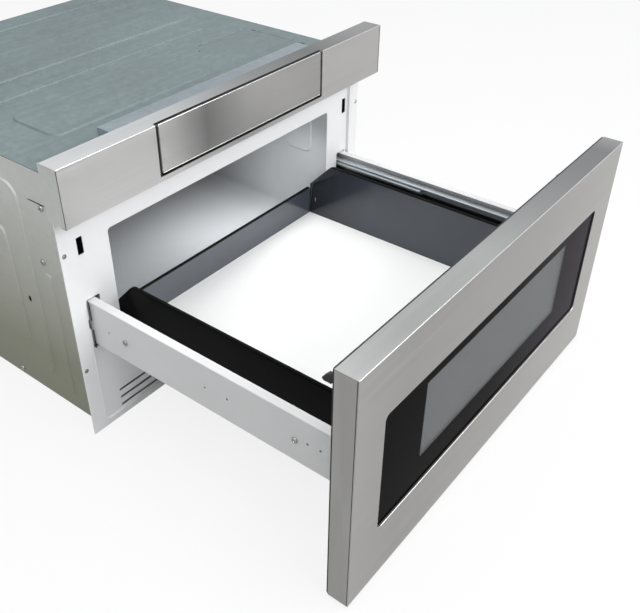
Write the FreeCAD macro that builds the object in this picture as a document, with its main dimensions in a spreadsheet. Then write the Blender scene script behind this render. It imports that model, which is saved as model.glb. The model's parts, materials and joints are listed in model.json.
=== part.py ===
import FreeCAD, Part
import Sketcher
import math
import os
import re

# A built-in microwave drawer, drawn with the drawer fully open and the control panel shut.
# X runs across the front, Y runs from the front to the back, Z runs up.
# The origin is the centre of the underside of the cabinet body.

doc = FreeCAD.newDocument("microwave_drawer")
sheet = doc.addObject("Spreadsheet::Sheet", "Sizes")

VALUE = {}


def size(name, value, note):
    """A named size in the sheet, in millimetres unless it is a count."""
    row = len(VALUE) + 1
    sheet.set("A%d" % row, name)
    sheet.set("B%d" % row, str(value))
    sheet.set("C%d" % row, note)
    sheet.setAlias("B%d" % row, name)
    VALUE[name] = float(value)


# Sizes that more than one piece is built from.
size("face", -300, "Y of the front face of the fascia")
size("front_half", 303, "half width of fascia and door")
size("steel", 1, "thickness of the steel sheets")
size("body_half", 277, "half width of the cabinet body")
size("body_front", -267.5, "Y of the front edge of the cabinet body")
size("body_back", 266, "Y of the rear face of the cabinet body")
size("body_top", 373, "height of the top cover")
size("lip", 10, "width of a folded edge on the cabinet sheets")
size("flange_half", 297, "half width of the front flange")
size("flange_front", -268.5, "Y of the front face of the flange")
size("plate_front", -264.4, "Y of the front face of the recessed plate")
size("plate_top", 371, "upper edge of the front frame")
size("cavity_half", 222, "half width of the cavity inside")
size("cavity_floor", 90, "height of the cavity floor")
size("cavity_roof", 292.5, "height of the cavity roof")
size("cavity_back", 158, "Y of the cavity rear wall inside")
size("travel", 391, "travel of the drawer")
size("fascia_low", 334.5, "lower edge of the fascia")
size("fascia_high", 407.8, "upper edge of the fascia")
size("fascia_depth", 28.6, "depth of the fascia wrap")
size("bay_half", 189, "half width of the control bay")
size("bay_low", 336, "underside of the control bay")
size("bay_top", 397, "top of the control bay")
size("bay_back", -230, "Y of the rear of the control bay")
size("pivot_y", -290, "Y of the control panel hinge")
size("pivot_z", 347.8, "Z of the control panel hinge")
size("pin", 2.5, "radius of the hinge pins")
size("door_face", -691, "Y of the front face of the open door")
size("door_depth", 26.8, "depth of the door skin")
size("door_low", 5.1, "lower edge of the door")
size("door_high", 330.6, "upper edge of the door")
size("door_back", -663, "Y of the rear face of the open door")
size("rail_out", 268, "outer face of a rail beam")
size("rail_low", 139, "lower edge of a rail beam")
size("rail_high", 204.5, "top of a rail beam")
size("rail_back", -215, "Y of the rear end of an open rail beam")
size("gauge", 1.5, "thickness of the rails, slides and their brackets")
size("slide_mid", 171.5, "height of the slide centre line")
size("bracket_out", 249.4, "outer face of a slide bracket")
size("antenna_y", -52.7, "Y of the antenna axis")
size("well_floor", 77, "height of the antenna well floor")
size("guide_low", 44, "underside of the waveguide")
size("fan_x", 138, "X of the front of the fan blade")
size("fan_y", 212, "Y of the fan axis")
size("fan_z", 112, "Z of the fan axis")
size("latch_x", 264.5, "X of a latch hook")
size("hook_low", 273, "lower edge of a latch hook")
size("pinion_y", -236, "Y of the drive pinion axis")
size("pinion_z", 129, "Z of the drive pinion axis")
size("tooth_module", 2, "module of the rack and pinion")
size("pinion_teeth", 12, "number of teeth on the drive pinion")

# Cabinet sheets.
size("side_back", 265, "Y of the rear edge of a side panel")
size("field_back", 238, "Y of the rear edge of the side field")
size("cover_half", 236, "half width of the fields in the top cover")
size("louvre_half", 243, "half width of the row of louvres")
size("flange_low", 0.2, "lower edge of the front flange")
size("recess_half", 275, "half width of the stamped recess")
size("recess_low", 9.5, "lower edge of the stamped recess")
size("mouth_high", 286.5, "upper edge of the cavity mouth")
size("slot_in", 249, "inner edge of a rail slot")
size("slot_out", 270, "outer edge of a rail slot")
size("slot_low", 131.5, "lower edge of a rail slot")
size("slot_high", 206, "upper edge of a rail slot")
size("mount_x", 291, "X of a mounting hole")
size("mount_low", 108.5, "height of a lower mounting hole")
size("mount_high", 282.5, "height of an upper mounting hole")
size("mount_hole", 2.5, "radius of a mounting hole")

# Oven cavity and the parts that feed it.
size("well", 98, "radius of the antenna well")
size("disc", 104, "radius of the antenna cover")
size("disc_depth", 3, "thickness of the antenna cover")
size("stirrer", 72, "radius of the antenna")
size("spindle", 3.5, "radius of the antenna spindle")
size("guide_half", 42, "half width of the waveguide")
size("tube_y", 208, "Y of the magnetron axis")
size("tube_hole", 12, "radius of a waveguide hole")
size("yoke_half", 43, "half width of the magnetron yoke")
size("yoke_depth", 34, "half depth of the magnetron yoke")

# Power supply, cooling, light and controls inside the cabinet.
size("blade", 44, "radius of the fan blade")
size("fan_shaft", 2.5, "radius of the fan shaft")
size("core_left", -205, "X of the left end of the transformer")
size("lamp_y", -2, "Y of the oven lamp")
size("lamp_z", 268, "Z of the oven lamp")
size("board_low", 312, "underside of the main circuit board")

# Ball-bearing slides, their brackets and the drawer drive.
size("bracket_in", 247.9, "inner face of a slide bracket")
size("inner_reach", 259, "how far out the legs of a cabinet member reach")
size("middle_back", 263.5, "outer face of the web of a middle member")
size("middle_reach", 252.5, "how far in the legs of a middle member reach")
size("outer_back", 266.5, "outer face of the web of a drawer member")
size("outer_reach", 254, "how far in the legs of a drawer member reach")
size("inner_tall", 11, "half height of a cabinet member")
size("middle_tall", 16, "half height of a middle member")
size("outer_tall", 21, "half height of a drawer member")
size("ball", 1.45, "radius of a slide ball")
size("rack_front", -650, "Y of the front end of the open rack")
size("rack_back", -218, "Y of the rear end of the open rack")
size("rack_pitch_z", 141, "height of the rack pitch line")
size("gear_shaft", 3, "radius of the pinion shaft")
size("backlash", 1, "total play between rack and pinion")

# Latch heads with their levers and switches.
size("head_in", 258.5, "inner side of a latch head")
size("head_out", 270.5, "outer side of a latch head")
size("head_back", -212, "Y of the rear of a latch head")
size("lever_y", -222.5, "Y of a latch lever pin")
size("lever_z", 293, "Z of a latch lever pin")
size("lever_pin", 1.5, "radius of a latch lever pin")

# Fascia, control bay and the tilting control panel.
size("opening_half", 159.5, "half width of the opening in the fascia")
size("opening_low", 341, "lower edge of the opening in the fascia")
size("panel_half", 155.5, "half width of the control panel")
size("panel_low", 344.9, "lower edge of the control panel")
size("panel_high", 406.4, "upper edge of the control panel")
size("deck", 374.5, "height of the deck that carries the touch glass")
size("deck_back", -250, "Y of the rear edge of the control panel")
size("glass", 2, "thickness of the touch glass")

# Door.
size("window_half", 253.5, "half width of the glass opening")
size("window_low", 85, "lower edge of the glass opening")
size("window_high", 252, "upper edge of the glass opening")
size("reveal", 2.6, "depth of the glass behind the door face")
size("pane", 3.2, "thickness of the door glass")
size("view_half", 169.5, "half width of the see-through field")
size("view_low", 127.5, "lower edge of the see-through field")
size("view_high", 234.5, "upper edge of the see-through field")
size("hook_tip", -624.5, "Y of the tip of an open latch hook")

# Rails and tray.
size("rail_flange", 256.5, "inner edge of the top flange of a rail")
size("tray_back", -248, "Y of the front face of the rear tray wall")
size("tray_end", -244.5, "Y of the rear end of the side tray walls")
size("tray_top", 203.5, "top of the side tray walls")
size("tray_lip", 209, "half width of the tray at the top")
size("tray_foot", 202, "half width of the tray at the base")
size("tray_wall", 4, "thickness of a side tray wall")
size("tray_low", 96, "underside of the tray frame")
size("base_top", 113.5, "top of the ceramic base")
size("base_plate", 4, "thickness of the ceramic base")
size("rear_top", 162, "top of the rear tray wall")
size("screw_near", -591, "Y of the front rail screw")
size("screw_far", -327, "Y of the rear rail screw")
size("screw_z", 169.5, "height of the rail screws")

doc.recompute()

WORD = re.compile(r"[a-z_]+")
PARTS = []


def bind(thing, prop, text):
    """Bind a property to an expression in which sheet cells go by their bare names."""
    def cell(match):
        word = match.group(0)
        return "Sizes." + word if word in VALUE else word
    thing.setExpression(prop, WORD.sub(cell, text))


def part(thing, name):
    """Give a finished piece its name and put it on the list of sub-parts."""
    thing.Label = name
    PARTS.append(thing)
    return thing


def box(x, y, z):
    """A block between low and high expressions on each axis."""
    block = doc.addObject("Part::Box", "block")
    for prop, axis, (low, high) in zip(("Length", "Width", "Height"), "xyz", (x, y, z)):
        bind(block, prop, "(%s) - (%s)" % (high, low))
        bind(block, "Placement.Base." + axis, low)
    return block


TURNS = {
    "x": FreeCAD.Rotation(FreeCAD.Vector(0, 1, 0), 90),
    "y": FreeCAD.Rotation(FreeCAD.Vector(1, 0, 0), -90),
    "z": FreeCAD.Rotation(),
}


def rod(axis, x, y, z, radius, length):
    """A cylinder that starts at a point and runs along an axis."""
    cylinder = doc.addObject("Part::Cylinder", "rod")
    cylinder.Placement = FreeCAD.Placement(FreeCAD.Vector(), TURNS[axis])
    for name, text in (("x", x), ("y", y), ("z", z)):
        bind(cylinder, "Placement.Base." + name, text)
    bind(cylinder, "Radius", radius)
    bind(cylinder, "Height", length)
    return cylinder


def fuse(*shapes):
    joined = doc.addObject("Part::MultiFuse", "joined")
    joined.Shapes = list(shapes)
    joined.Refine = True
    return joined


def group(*shapes):
    """Separate solids kept together in one node."""
    kept = doc.addObject("Part::Compound", "kept")
    kept.Links = list(shapes)
    return kept


def cut(base, *tools):
    trimmed = doc.addObject("Part::Cut", "trimmed")
    trimmed.Base = base
    trimmed.Tool = tools[0] if len(tools) == 1 else group(*tools)
    trimmed.Refine = True
    return trimmed


def mirror(shape):
    """The same piece on the other side of the centre plane."""
    other = doc.addObject("Part::Mirroring", "mirrored")
    other.Source = shape
    other.Normal = (1, 0, 0)
    other.Base = (0, 0, 0)
    return other


def rounded(shape, radius, chosen):
    """Round the edges that a test picks out."""
    shape.recompute(True)
    soft = doc.addObject("Part::Fillet", "soft")
    soft.Base = shape
    soft.Edges = [(i, radius, radius) for i, edge in enumerate(shape.Shape.Edges, 1) if chosen(edge)]
    return soft


def along(axis, low=None):
    """A test for straight edges that run along an axis, beyond a length if one is given."""
    index = "xyz".index(axis)

    def chosen(edge):
        if edge.Curve.TypeId != "Part::GeomLine":
            return False
        run = edge.tangentAt(edge.FirstParameter)
        return abs(run[index]) > 0.999 and (low is None or edge.Length > low)
    return chosen


def soft_box(x, y, z, axis, radius):
    """A block whose four edges along one axis are rounded."""
    return rounded(box(x, y, z), radius, along(axis))


def shell(x, y, z, wall, mouth, axis=None, radius=0):
    """A box of sheet, open on the sides that the mouth lists, such as "-y+y"."""
    inner = []
    for name, (low, high) in zip("xyz", (x, y, z)):
        start = "%s - 1" % low if "-" + name in mouth else "%s + %s" % (low, wall)
        end = "%s + 1" % high if "+" + name in mouth else "%s - %s" % (high, wall)
        inner.append((start, end))
    if axis is None:
        return cut(box(x, y, z), box(*inner))
    return cut(soft_box(x, y, z, axis, radius), soft_box(*inner, axis, radius - VALUE[wall]))


def plateau(x, y, z, face, lift, radius):
    """A rounded block whose end towards a face, such as "+z", has sloped flanks of height lift."""
    block = soft_box(x, y, z, face[1], radius)
    block.recompute(True)
    bounds = block.Shape.BoundBox
    prefix = {"+": "Max", "-": "Min"}[face[0]]
    level = getattr(bounds, face[1].upper() + prefix)
    slope = doc.addObject("Part::Chamfer", "slope")
    slope.Base = block
    slope.Edges = [(i, lift, lift) for i, edge in enumerate(block.Shape.Edges, 1)
                   if all(abs(getattr(v.Point, face[1]) - level) < 0.01 for v in edge.Vertexes)]
    return slope


def span(level, sign, low, high):
    """An interval measured outwards from a level."""
    ends = tuple("%s %s (%s)" % (level, sign, reach) for reach in (low, high))
    return ends if sign == "+" else ends[::-1]


def pressed(sheet_metal, first, second, level, face, lift, radius):
    """A field pressed out of a sheet whose outer face is at a level, with sloped flanks."""
    sign, axis = face
    place = "xyz".index(axis)
    blocks = []
    for reach in (("-steel", str(lift)), ("-2 * steel", "%s - steel" % lift)):
        sides = [first, second]
        sides.insert(place, span(level, sign, *reach))
        blocks.append(plateau(*sides, face, lift, radius))
    return cut(fuse(sheet_metal, blocks[0]), blocks[1])


def outline(body, plane, level, *loops):
    """Closed outlines, given as pairs of expressions, on one of the body's own planes."""
    sketch = body.newObject("Sketcher::SketchObject", "outline")
    datum = [f for f in body.Origin.OriginFeatures if f.Role == plane + "_Plane"][0]
    sketch.AttachmentSupport = [(datum, "")]
    sketch.MapMode = "FlatFace"
    bind(sketch, "AttachmentOffset.Base.z", ("-(%s)" if plane == "XZ" else "(%s)") % level)
    for points in loops:
        count = len(points)
        first = sketch.GeometryCount
        spots = [FreeCAD.Vector(math.cos(2 * math.pi * i / count), math.sin(2 * math.pi * i / count), 0)
                 for i in range(count)]
        for i in range(count):
            sketch.addGeometry(Part.LineSegment(spots[i], spots[(i + 1) % count]))
        for i, (across, up) in enumerate(points):
            line = first + i
            sketch.addConstraint(Sketcher.Constraint("Coincident", first + (i - 1) % count, 2, line, 1))
            for kind, text in (("DistanceX", across), ("DistanceY", up)):
                number = sketch.addConstraint(Sketcher.Constraint(kind, -1, 1, line, 1, 1.0))
                bind(sketch, "Constraints[%d]" % number, text)
    return sketch


def circle(body, plane, level, radius):
    """A circle about the body's own origin."""
    sketch = outline(body, plane, level)
    sketch.addGeometry(Part.Circle(FreeCAD.Vector(), FreeCAD.Vector(0, 0, 1), 1))
    sketch.addConstraint(Sketcher.Constraint("Coincident", 0, 3, -1, 1))
    number = sketch.addConstraint(Sketcher.Constraint("Radius", 0, 1.0))
    bind(sketch, "Constraints[%d]" % number, radius)
    return sketch


def prism(body, plane, loops, low, high):
    """Pad outlines from a low to a high level on the axis across their plane."""
    sketch = outline(body, plane, high if plane == "XZ" else low, *loops)
    pad = body.newObject("PartDesign::Pad", "pad")
    pad.Profile = sketch
    bind(pad, "Length", "(%s) - (%s)" % (high, low))
    return pad


def sink(body, plane, loops, low, high):
    """Pocket outlines between two levels on the axis across their plane."""
    sketch = outline(body, plane, low if plane == "XZ" else high, *loops)
    pocket = body.newObject("PartDesign::Pocket", "pocket")
    pocket.Profile = sketch
    bind(pocket, "Length", "(%s) - (%s)" % (high, low))
    return pocket


def rectangle(left, low, right, high):
    return [(left, low), (right, low), (right, high), (left, high)]


def new_body(name):
    body = doc.addObject("PartDesign::Body", "body")
    part(body, name)
    return body


# Cabinet sheets.

THROUGH_TOP = ("body_top - 8", "body_top + 8")
THROUGH_SIDE = ("body_half - 8", "body_half + 8")
THROUGH_FRONT = ("flange_front - 4", "plate_front + 4")
THROUGH_BACK = ("body_back - 8", "body_back + 8")


def make_base_pan():
    pan = shell(("1 - body_half", "body_half - 1"), ("plate_front + steel", "side_back"), ("0", "lip + 2"),
                "steel", "+z")
    for start in ("-150", "120"):
        pan = pressed(pan, ("-225", "225"), (start, start + " + 24"), "steel", "+z", 2, 10)
    return pan


def make_side_panel():
    """The right side sheet with folded edges, nested fields, a long bead and its holes."""
    panel = fuse(
        box(("body_half - steel", "body_half"), ("body_front", "side_back"), ("0", "body_top - steel")),
        box(("body_half - lip", "body_half"), ("body_front", "side_back"),
            ("body_top - 2 * steel", "body_top - steel")),
        box(("body_half - lip", "body_half"), ("side_back - steel", "side_back"),
            ("lip + 3", "body_top - steel")),
    )
    panel = pressed(panel, ("-174", "field_back"), ("36.5", "340"), "body_half", "+x", 2, 22)
    panel = pressed(panel, ("-133", "field_back - 40"), ("78.5", "268.5"), "body_half + 2", "+x", 2, 16)
    panel = pressed(panel, ("-210.5", "-196"), ("24.5", "224.5"), "body_half", "+x", 1.5, 6)
    return cut(
        panel,
        soft_box(THROUGH_SIDE, ("-156", "-150"), ("160", "169"), "x", 2.9),
        soft_box(THROUGH_SIDE, ("-226", "-195"), ("326.5", "328.5"), "x", 0.9),
    )


def make_top_cover():
    cover = box(("-body_half", "body_half"), ("body_front", "body_back"), ("body_top - steel", "body_top"))
    wide = ("-cover_half", "cover_half")
    cover = pressed(cover, wide, ("30", "200"), "body_top", "+z", 2, 18)
    cover = pressed(cover, ("-200", "205"), ("-27", "-14"), "body_top", "+z", 1.5, 6)
    cover = pressed(cover, ("-209", "79"), ("-172", "-76"), "body_top", "+z", 2, 18)
    cover = pressed(cover, wide, ("218", "230"), "body_top", "+z", 1.5, 5.5)
    cover = pressed(cover, ("147", "243"), ("-79", "-71"), "body_top", "+z", 1, 3.5)
    return cut(
        cover,
        box(("-bay_half - 0.3", "bay_half + 0.3"), ("body_front - 1", "bay_back + 0.3"), THROUGH_TOP),
        box(("246", "248.5"), ("-199", "-191"), THROUGH_TOP),
        box(("246", "248.5"), ("-100", "-90"), THROUGH_TOP),
        box(("247", "247.8"), ("-188", "-103"), THROUGH_TOP),
        rod("z", "122", "-95", "body_top - 8", "1.6", "16"),
        rod("z", "141", "-78", "body_top - 8", "1.6", "16"),
    )


def make_rear_panel():
    """The rear sheet with three banks of air slots and a hole for the supply gland."""
    panel = box(("1 - body_half", "body_half - 1"), ("side_back", "body_back"), ("0", "body_top - steel"))
    panel = pressed(panel, ("-255", "-20"), ("200", "350"), "body_back", "+y", 2, 16)
    tools = [rod("y", "-235", "body_back - 8", "60", "8", "16")]
    for left in (-90, 40, 160):
        for row in range(7):
            low = 24 + 14 * row
            tools.append(box((str(left), str(left + 85)), THROUGH_BACK, (str(low), str(low + 5))))
    return cut(panel, *tools)


def rail_slot():
    """The opening that a rail runs through, with the notch that its screw heads need."""
    slot = soft_box(("slot_in", "slot_out"), THROUGH_FRONT, ("slot_low", "slot_high"), "y", 2)
    notch = soft_box(("slot_out - 5", "recess_half - 1.5"), THROUGH_FRONT, ("162.5", "177"), "y", 1)
    return fuse(slot, notch)


def make_front_frame():
    """One enamelled stamping: a flange round a recessed plate, with all that passes through it."""
    full = ("-flange_half", "flange_half")
    flange = cut(
        soft_box(full, ("flange_front", "flange_front + steel"), ("flange_low", "plate_top"), "y", 1.5),
        soft_box(("-recess_half", "recess_half"), THROUGH_FRONT, ("recess_low", "plate_top + 60"), "y", 6),
    )
    step = cut(
        soft_box(("-recess_half - steel", "recess_half + steel"), ("flange_front", "plate_front + steel"),
                 ("recess_low - steel", "plate_top + 60"), "y", 7),
        soft_box(("-recess_half", "recess_half"), ("flange_front - 1", "plate_front"),
                 ("recess_low", "plate_top + 70"), "y", 6),
        box(full, THROUGH_FRONT, ("plate_top", "plate_top + 80")),
    )
    openings = [
        soft_box(("-cavity_half", "cavity_half"), THROUGH_FRONT, ("cavity_floor", "mouth_high"), "y", 5),
        box(("-bay_half - 0.3", "bay_half + 0.3"), THROUGH_FRONT, ("bay_low - 0.3", "plate_top + 1")),
    ]
    slot = rail_slot()
    latch = soft_box(("260", "269"), THROUGH_FRONT, ("271", "295"), "y", 1.2)
    mounts = fuse(
        rod("y", "mount_x", "flange_front - 4", "mount_low", "mount_hole", "12"),
        rod("y", "mount_x", "flange_front - 4", "mount_high", "mount_hole", "12"),
    )
    for tool in (slot, latch, mounts):
        openings += [tool, mirror(tool)]
    for row in range(3):
        low = 12 + 13 * row
        for column in range(4):
            left = "louvre_half * %g" % (column / 2 - 1)
            openings.append(soft_box((left, left + " + louvre_half / 2 - 8"), THROUGH_FRONT,
                                     (str(low), str(low + 4)), "y", 1.8))
    return cut(fuse(flange, step), *openings)


part(make_base_pan(), "base_pan")
right_side = part(make_side_panel(), "side_panel_right")
part(mirror(right_side), "side_panel_left")
part(make_top_cover(), "top_cover")
part(make_rear_panel(), "rear_panel")
part(make_front_frame(), "front_frame")


# Oven cavity and the parts that feed it.


def make_cavity():
    """The enamelled oven box with a stepped round well in its floor and pressed side fields."""
    oven = shell(("-cavity_half - steel", "cavity_half + steel"), ("plate_front + steel", "cavity_back + steel"),
                 ("cavity_floor - steel", "cavity_roof + steel"), "steel", "-y", "y", 12)
    oven = fuse(
        oven,
        rod("z", "0", "antenna_y", "cavity_floor - disc_depth - steel", "disc + 1.5", "disc_depth + steel"),
        rod("z", "0", "antenna_y", "well_floor - steel", "well + steel",
            "cavity_floor - well_floor - disc_depth"),
    )
    oven = cut(
        oven,
        rod("z", "0", "antenna_y", "cavity_floor - disc_depth", "disc + 0.5", "disc_depth + 2"),
        rod("z", "0", "antenna_y", "well_floor", "well", "20"),
        rod("z", "0", "antenna_y", "well_floor - 5", "tube_hole", "20"),
    )
    sides = []
    for row in range(2):
        for column in range(4):
            sides.append(rod("x", "cavity_half - 6", str(-20 + 12 * column), str(262 + 12 * row), "3", "14"))
    oven = cut(oven, *sides)
    inward = pressed(oven, ("-234", "-180"), ("208", "270"), "cavity_half", "-x", 2, 13)
    return inward


def make_antenna():
    """A flat stirrer of three blades on a hub and its long spindle."""
    blades = []
    for turn in range(3):
        blade = soft_box(("6", "stirrer"), ("-15", "15"), ("well_floor + 3", "well_floor + 4.5"), "z", 12)
        blade.Placement = FreeCAD.Placement(FreeCAD.Vector(), FreeCAD.Rotation(120 * turn, 0, 0))
        blades.append(blade)
    hub = rod("z", "0", "0", "well_floor + 2", "22", "3.5")
    spindle = rod("z", "0", "0", "guide_low - 9", "spindle", "well_floor - guide_low + 12")
    stirrer = fuse(*blades, hub, spindle)
    bind(stirrer, "Placement.Base.y", "antenna_y")
    return stirrer


def make_waveguide():
    guide = shell(("-guide_half", "guide_half"), ("antenna_y - 48", "tube_y + 48"), ("guide_low", "well_floor - steel"),
                  "steel", "")
    return cut(
        guide,
        rod("z", "0", "antenna_y", "well_floor - 5", "tube_hole", "10"),
        rod("z", "0", "antenna_y", "guide_low - 5", "spindle + 2", "10"),
        rod("z", "0", "tube_y", "well_floor - 5", "tube_hole + 6", "10"),
    )


def make_magnetron():
    """The valve: antenna dome, anode with its stack of cooling fins, magnets and yoke frame."""
    base = "well_floor - steel"
    yoke = shell(("-yoke_half", "yoke_half"), ("tube_y - yoke_depth", "tube_y + yoke_depth"),
                 (base, base + " + 78"), "gauge", "-x+x")
    dome = rod("z", "0", "tube_y", "guide_low + 14", "9", "28")
    anode = rod("z", "0", "tube_y", base, "20", "78")
    stack = [yoke, dome, anode, rod("z", "0", "tube_y", base + " + 1", "27", "12"),
             rod("z", "0", "tube_y", base + " + 64", "27", "12"),
             soft_box(("-30", "30"), ("tube_y - 30", "tube_y + 30"), (base + " + 77", base + " + 104"), "z", 4)]
    for level in range(7):
        low = base + " + %g" % (19 + 7 * level)
        stack.append(box(("5 - yoke_half", "yoke_half - 5"), ("tube_y - 1 - yoke_depth + gauge",
                         "tube_y + yoke_depth - gauge + 1"), (low, low + " + 1.2")))
    return fuse(*stack)


part(make_cavity(), "cavity")
part(rod("z", "0", "antenna_y", "cavity_floor - disc_depth", "disc", "disc_depth"), "antenna_cover")
part(make_antenna(), "antenna")
part(make_waveguide(), "waveguide")
part(make_magnetron(), "magnetron")
part(cut(
    fuse(rod("z", "0", "antenna_y", "guide_low - 17", "25", "17"),
         soft_box(("-35", "35"), ("antenna_y - 8", "antenna_y + 8"), ("guide_low - 1.5", "guide_low"), "z", 7)),
    rod("z", "0", "antenna_y", "guide_low - 10", "spindle + 0.4", "12"),
), "antenna_motor")


# Power supply, cooling, light and controls inside the cabinet.


def make_transformer():
    """A laminated core with a window either side of its centre limb."""
    deep = ("168", "244")
    core = soft_box(("core_left", "core_left + 96"), deep, ("steel", "81"), "y", 2)
    windows = [box(("core_left + " + left, "core_left + " + right), ("167", "245"), ("17", "65"))
               for left, right in (("16", "34"), ("62", "80"))]
    feet = [box(("core_left - 8", "core_left + 104"), (low, high), ("steel", "steel + 2"))
            for low, high in (("172", "190"), ("222", "240"))]
    return fuse(cut(core, *windows), *feet)


def make_windings():
    """Two coils on the centre limb, one above the other, that stand out of the core at both ends."""
    coils = []
    for low, high in (("17.5", "37"), ("39", "64.5")):
        coil = soft_box(("core_left + 16.5", "core_left + 79.5"), ("160", "252"), (low, high), "z", 14)
        limb = box(("core_left + 34", "core_left + 62"), ("168", "244"), ("10", "70"))
        coils.append(cut(coil, limb))
    return group(*coils)


def make_fan_blade():
    """Five pitched blades round a hub, bored for the motor shaft."""
    hub = rod("x", "0", "0", "0", "13", "16")
    pieces = [hub]
    for turn in range(5):
        blade = soft_box(("7.2", "9.2"), ("-17", "17"), ("8", "blade"), "x", 9)
        tilt = FreeCAD.Rotation(FreeCAD.Vector(0, 0, 1), 24)
        swing = FreeCAD.Rotation(FreeCAD.Vector(1, 0, 0), 72 * turn)
        lean = doc.addObject("Part::Compound", "lean")
        lean.Links = [blade]
        lean.Placement = FreeCAD.Placement(FreeCAD.Vector(), swing * tilt, FreeCAD.Vector(8, 0, 0))
        pieces.append(lean)
    fan = cut(fuse(*pieces), rod("x", "4.9", "0", "0", "fan_shaft + 0.05", "12"))
    for axis, text in (("x", "fan_x"), ("y", "fan_y"), ("z", "fan_z")):
        bind(fan, "Placement.Base." + axis, text)
    return fan


def make_fan_motor():
    """A shaded-pole motor: laminated ring, coil on its lower limb, rotor can and shaft."""
    frame = soft_box(("fan_x + 34", "fan_x + 56"), ("fan_y - 30", "fan_y + 30"), ("fan_z - 42", "fan_z + 30"), "x", 5)
    window = box(("fan_x + 30", "fan_x + 60"), ("fan_y - 16", "fan_y + 16"), ("fan_z - 33", "fan_z - 22"))
    coil = soft_box(("fan_x + 27", "fan_x + 63"), ("fan_y - 15", "fan_y + 15"), ("fan_z - 42", "fan_z - 24"), "y", 6)
    can = rod("x", "fan_x + 24", "fan_y", "fan_z", "16", "44")
    shaft = rod("x", "fan_x + 5", "fan_y", "fan_z", "fan_shaft", "60")
    straps = box(("fan_x + 24", "fan_x + 26"), ("fan_y - 48", "fan_y + 48"), ("fan_z - 6", "fan_z + 6"))
    return fuse(cut(frame, window), coil, can, shaft, straps)


def make_fan_duct():
    """A moulded shroud: a square plate with a round throat, legs to the base and arms to the motor."""
    plate = soft_box(("fan_x - 6", "fan_x - 3.5"), ("fan_y - 50", "fan_y + 50"), ("steel", "fan_z + 56"), "x", 5)
    throat = rod("x", "fan_x - 6", "fan_y", "fan_z", "blade + 5", "22")
    arms = [box(("fan_x - 4", "fan_x + 24"), (low, high), ("fan_z - 7", "fan_z + 7"))
            for low, high in (("fan_y - 50", "fan_y - 46"), ("fan_y + 46", "fan_y + 50"))]
    bore = rod("x", "fan_x - 10", "fan_y", "fan_z", "blade + 2", "30")
    return cut(fuse(plate, throat, *arms), bore)


def make_main_board():
    """The power board on its posts, with relays, a small transformer and terminal blocks."""
    board = soft_box(("-150", "90"), ("-190", "-40"), ("board_low", "board_low + 1.6"), "z", 3)
    pieces = [board]
    top = "board_low + 1.6"
    for left, front, width, depth, height in ((-140, -180, 42, 36, 28), (-85, -178, 19, 16, 16),
                                              (-60, -178, 19, 16, 16), (-35, -178, 19, 16, 16),
                                              (-5, -180, 60, 12, 11), (20, -110, 34, 50, 6)):
        pieces.append(soft_box((str(left), str(left + width)), (str(front), str(front + depth)),
                               (top, top + " + %g" % height), "z", 1.5))
    for spot_x, spot_y in ((-110, -70), (-80, -70), (-50, -70)):
        pieces.append(rod("z", str(spot_x), str(spot_y), top, "8", "20"))
    for spot_x in (-142, 82):
        for spot_y in (-182, -48):
            pieces.append(rod("z", str(spot_x), str(spot_y), "cavity_roof + steel", "4",
                              "board_low - cavity_roof - steel"))
    return fuse(*pieces)


def make_cutout():
    """A snap-disc thermal switch with its flange and two blades."""
    return fuse(
        rod("z", "0", "60", "cavity_roof + steel", "8", "9"),
        soft_box(("-14", "14"), ("54", "66"), ("cavity_roof + steel", "cavity_roof + steel + 1"), "z", 5),
        box(("-5", "-4"), ("57", "63"), ("cavity_roof + 10", "cavity_roof + 18")),
        box(("4", "5"), ("57", "63"), ("cavity_roof + 10", "cavity_roof + 18")),
    )


def moved(shape, along_x):
    """A copy of a finished shape, shifted across the front."""
    copy = doc.addObject("Part::Compound", "copy")
    copy.Links = [shape]
    bind(copy, "Placement.Base.x", along_x)
    return copy


part(make_transformer(), "transformer_core")
part(make_windings(), "transformer_windings")
part(fuse(
    soft_box(("-95", "-62"), ("172", "212"), ("steel", "101"), "z", 15),
    box(("-86", "-85"), ("189", "195"), ("101", "109")),
    box(("-72", "-71"), ("189", "195"), ("101", "109")),
    box(("-100", "-57"), ("222", "223.5"), ("steel", "60")),
    shell(("-96.5", "-60.5"), ("170", "223"), ("40", "50"), "gauge", "-z+z"),
), "capacitor")
part(make_fan_blade(), "fan_blade")
part(make_fan_motor(), "fan_motor")
part(make_fan_duct(), "fan_duct")
part(fuse(
    rod("x", "cavity_half + steel", "lamp_y", "lamp_z", "9", "20"),
    rod("x", "cavity_half + steel + 20", "lamp_y", "lamp_z", "11", "12"),
), "oven_lamp")
part(cut(
    shell(("cavity_half + steel", "cavity_half + 24"), ("lamp_y - 24", "lamp_y + 24"), ("lamp_z - 14", "lamp_z + 14"),
          "gauge", "-x"),
    rod("x", "cavity_half + 10", "lamp_y", "lamp_z", "12", "20"),
), "lamp_housing")
part(make_main_board(), "main_board")
cutout = make_cutout()
part(group(moved(cutout, "-60"), moved(cutout, "60")), "thermal_cutouts")
part(cut(
    fuse(rod("y", "-235", "side_back - 8", "60", "7.9", "20"), rod("y", "-235", "body_back", "60", "12", "4"),
         rod("y", "-235", "side_back - 8", "60", "10", "8")),
    rod("y", "-235", "side_back - 10", "60", "4", "30"),
), "cord_gland")


# Ball-bearing slides, their brackets and the drawer drive.


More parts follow.
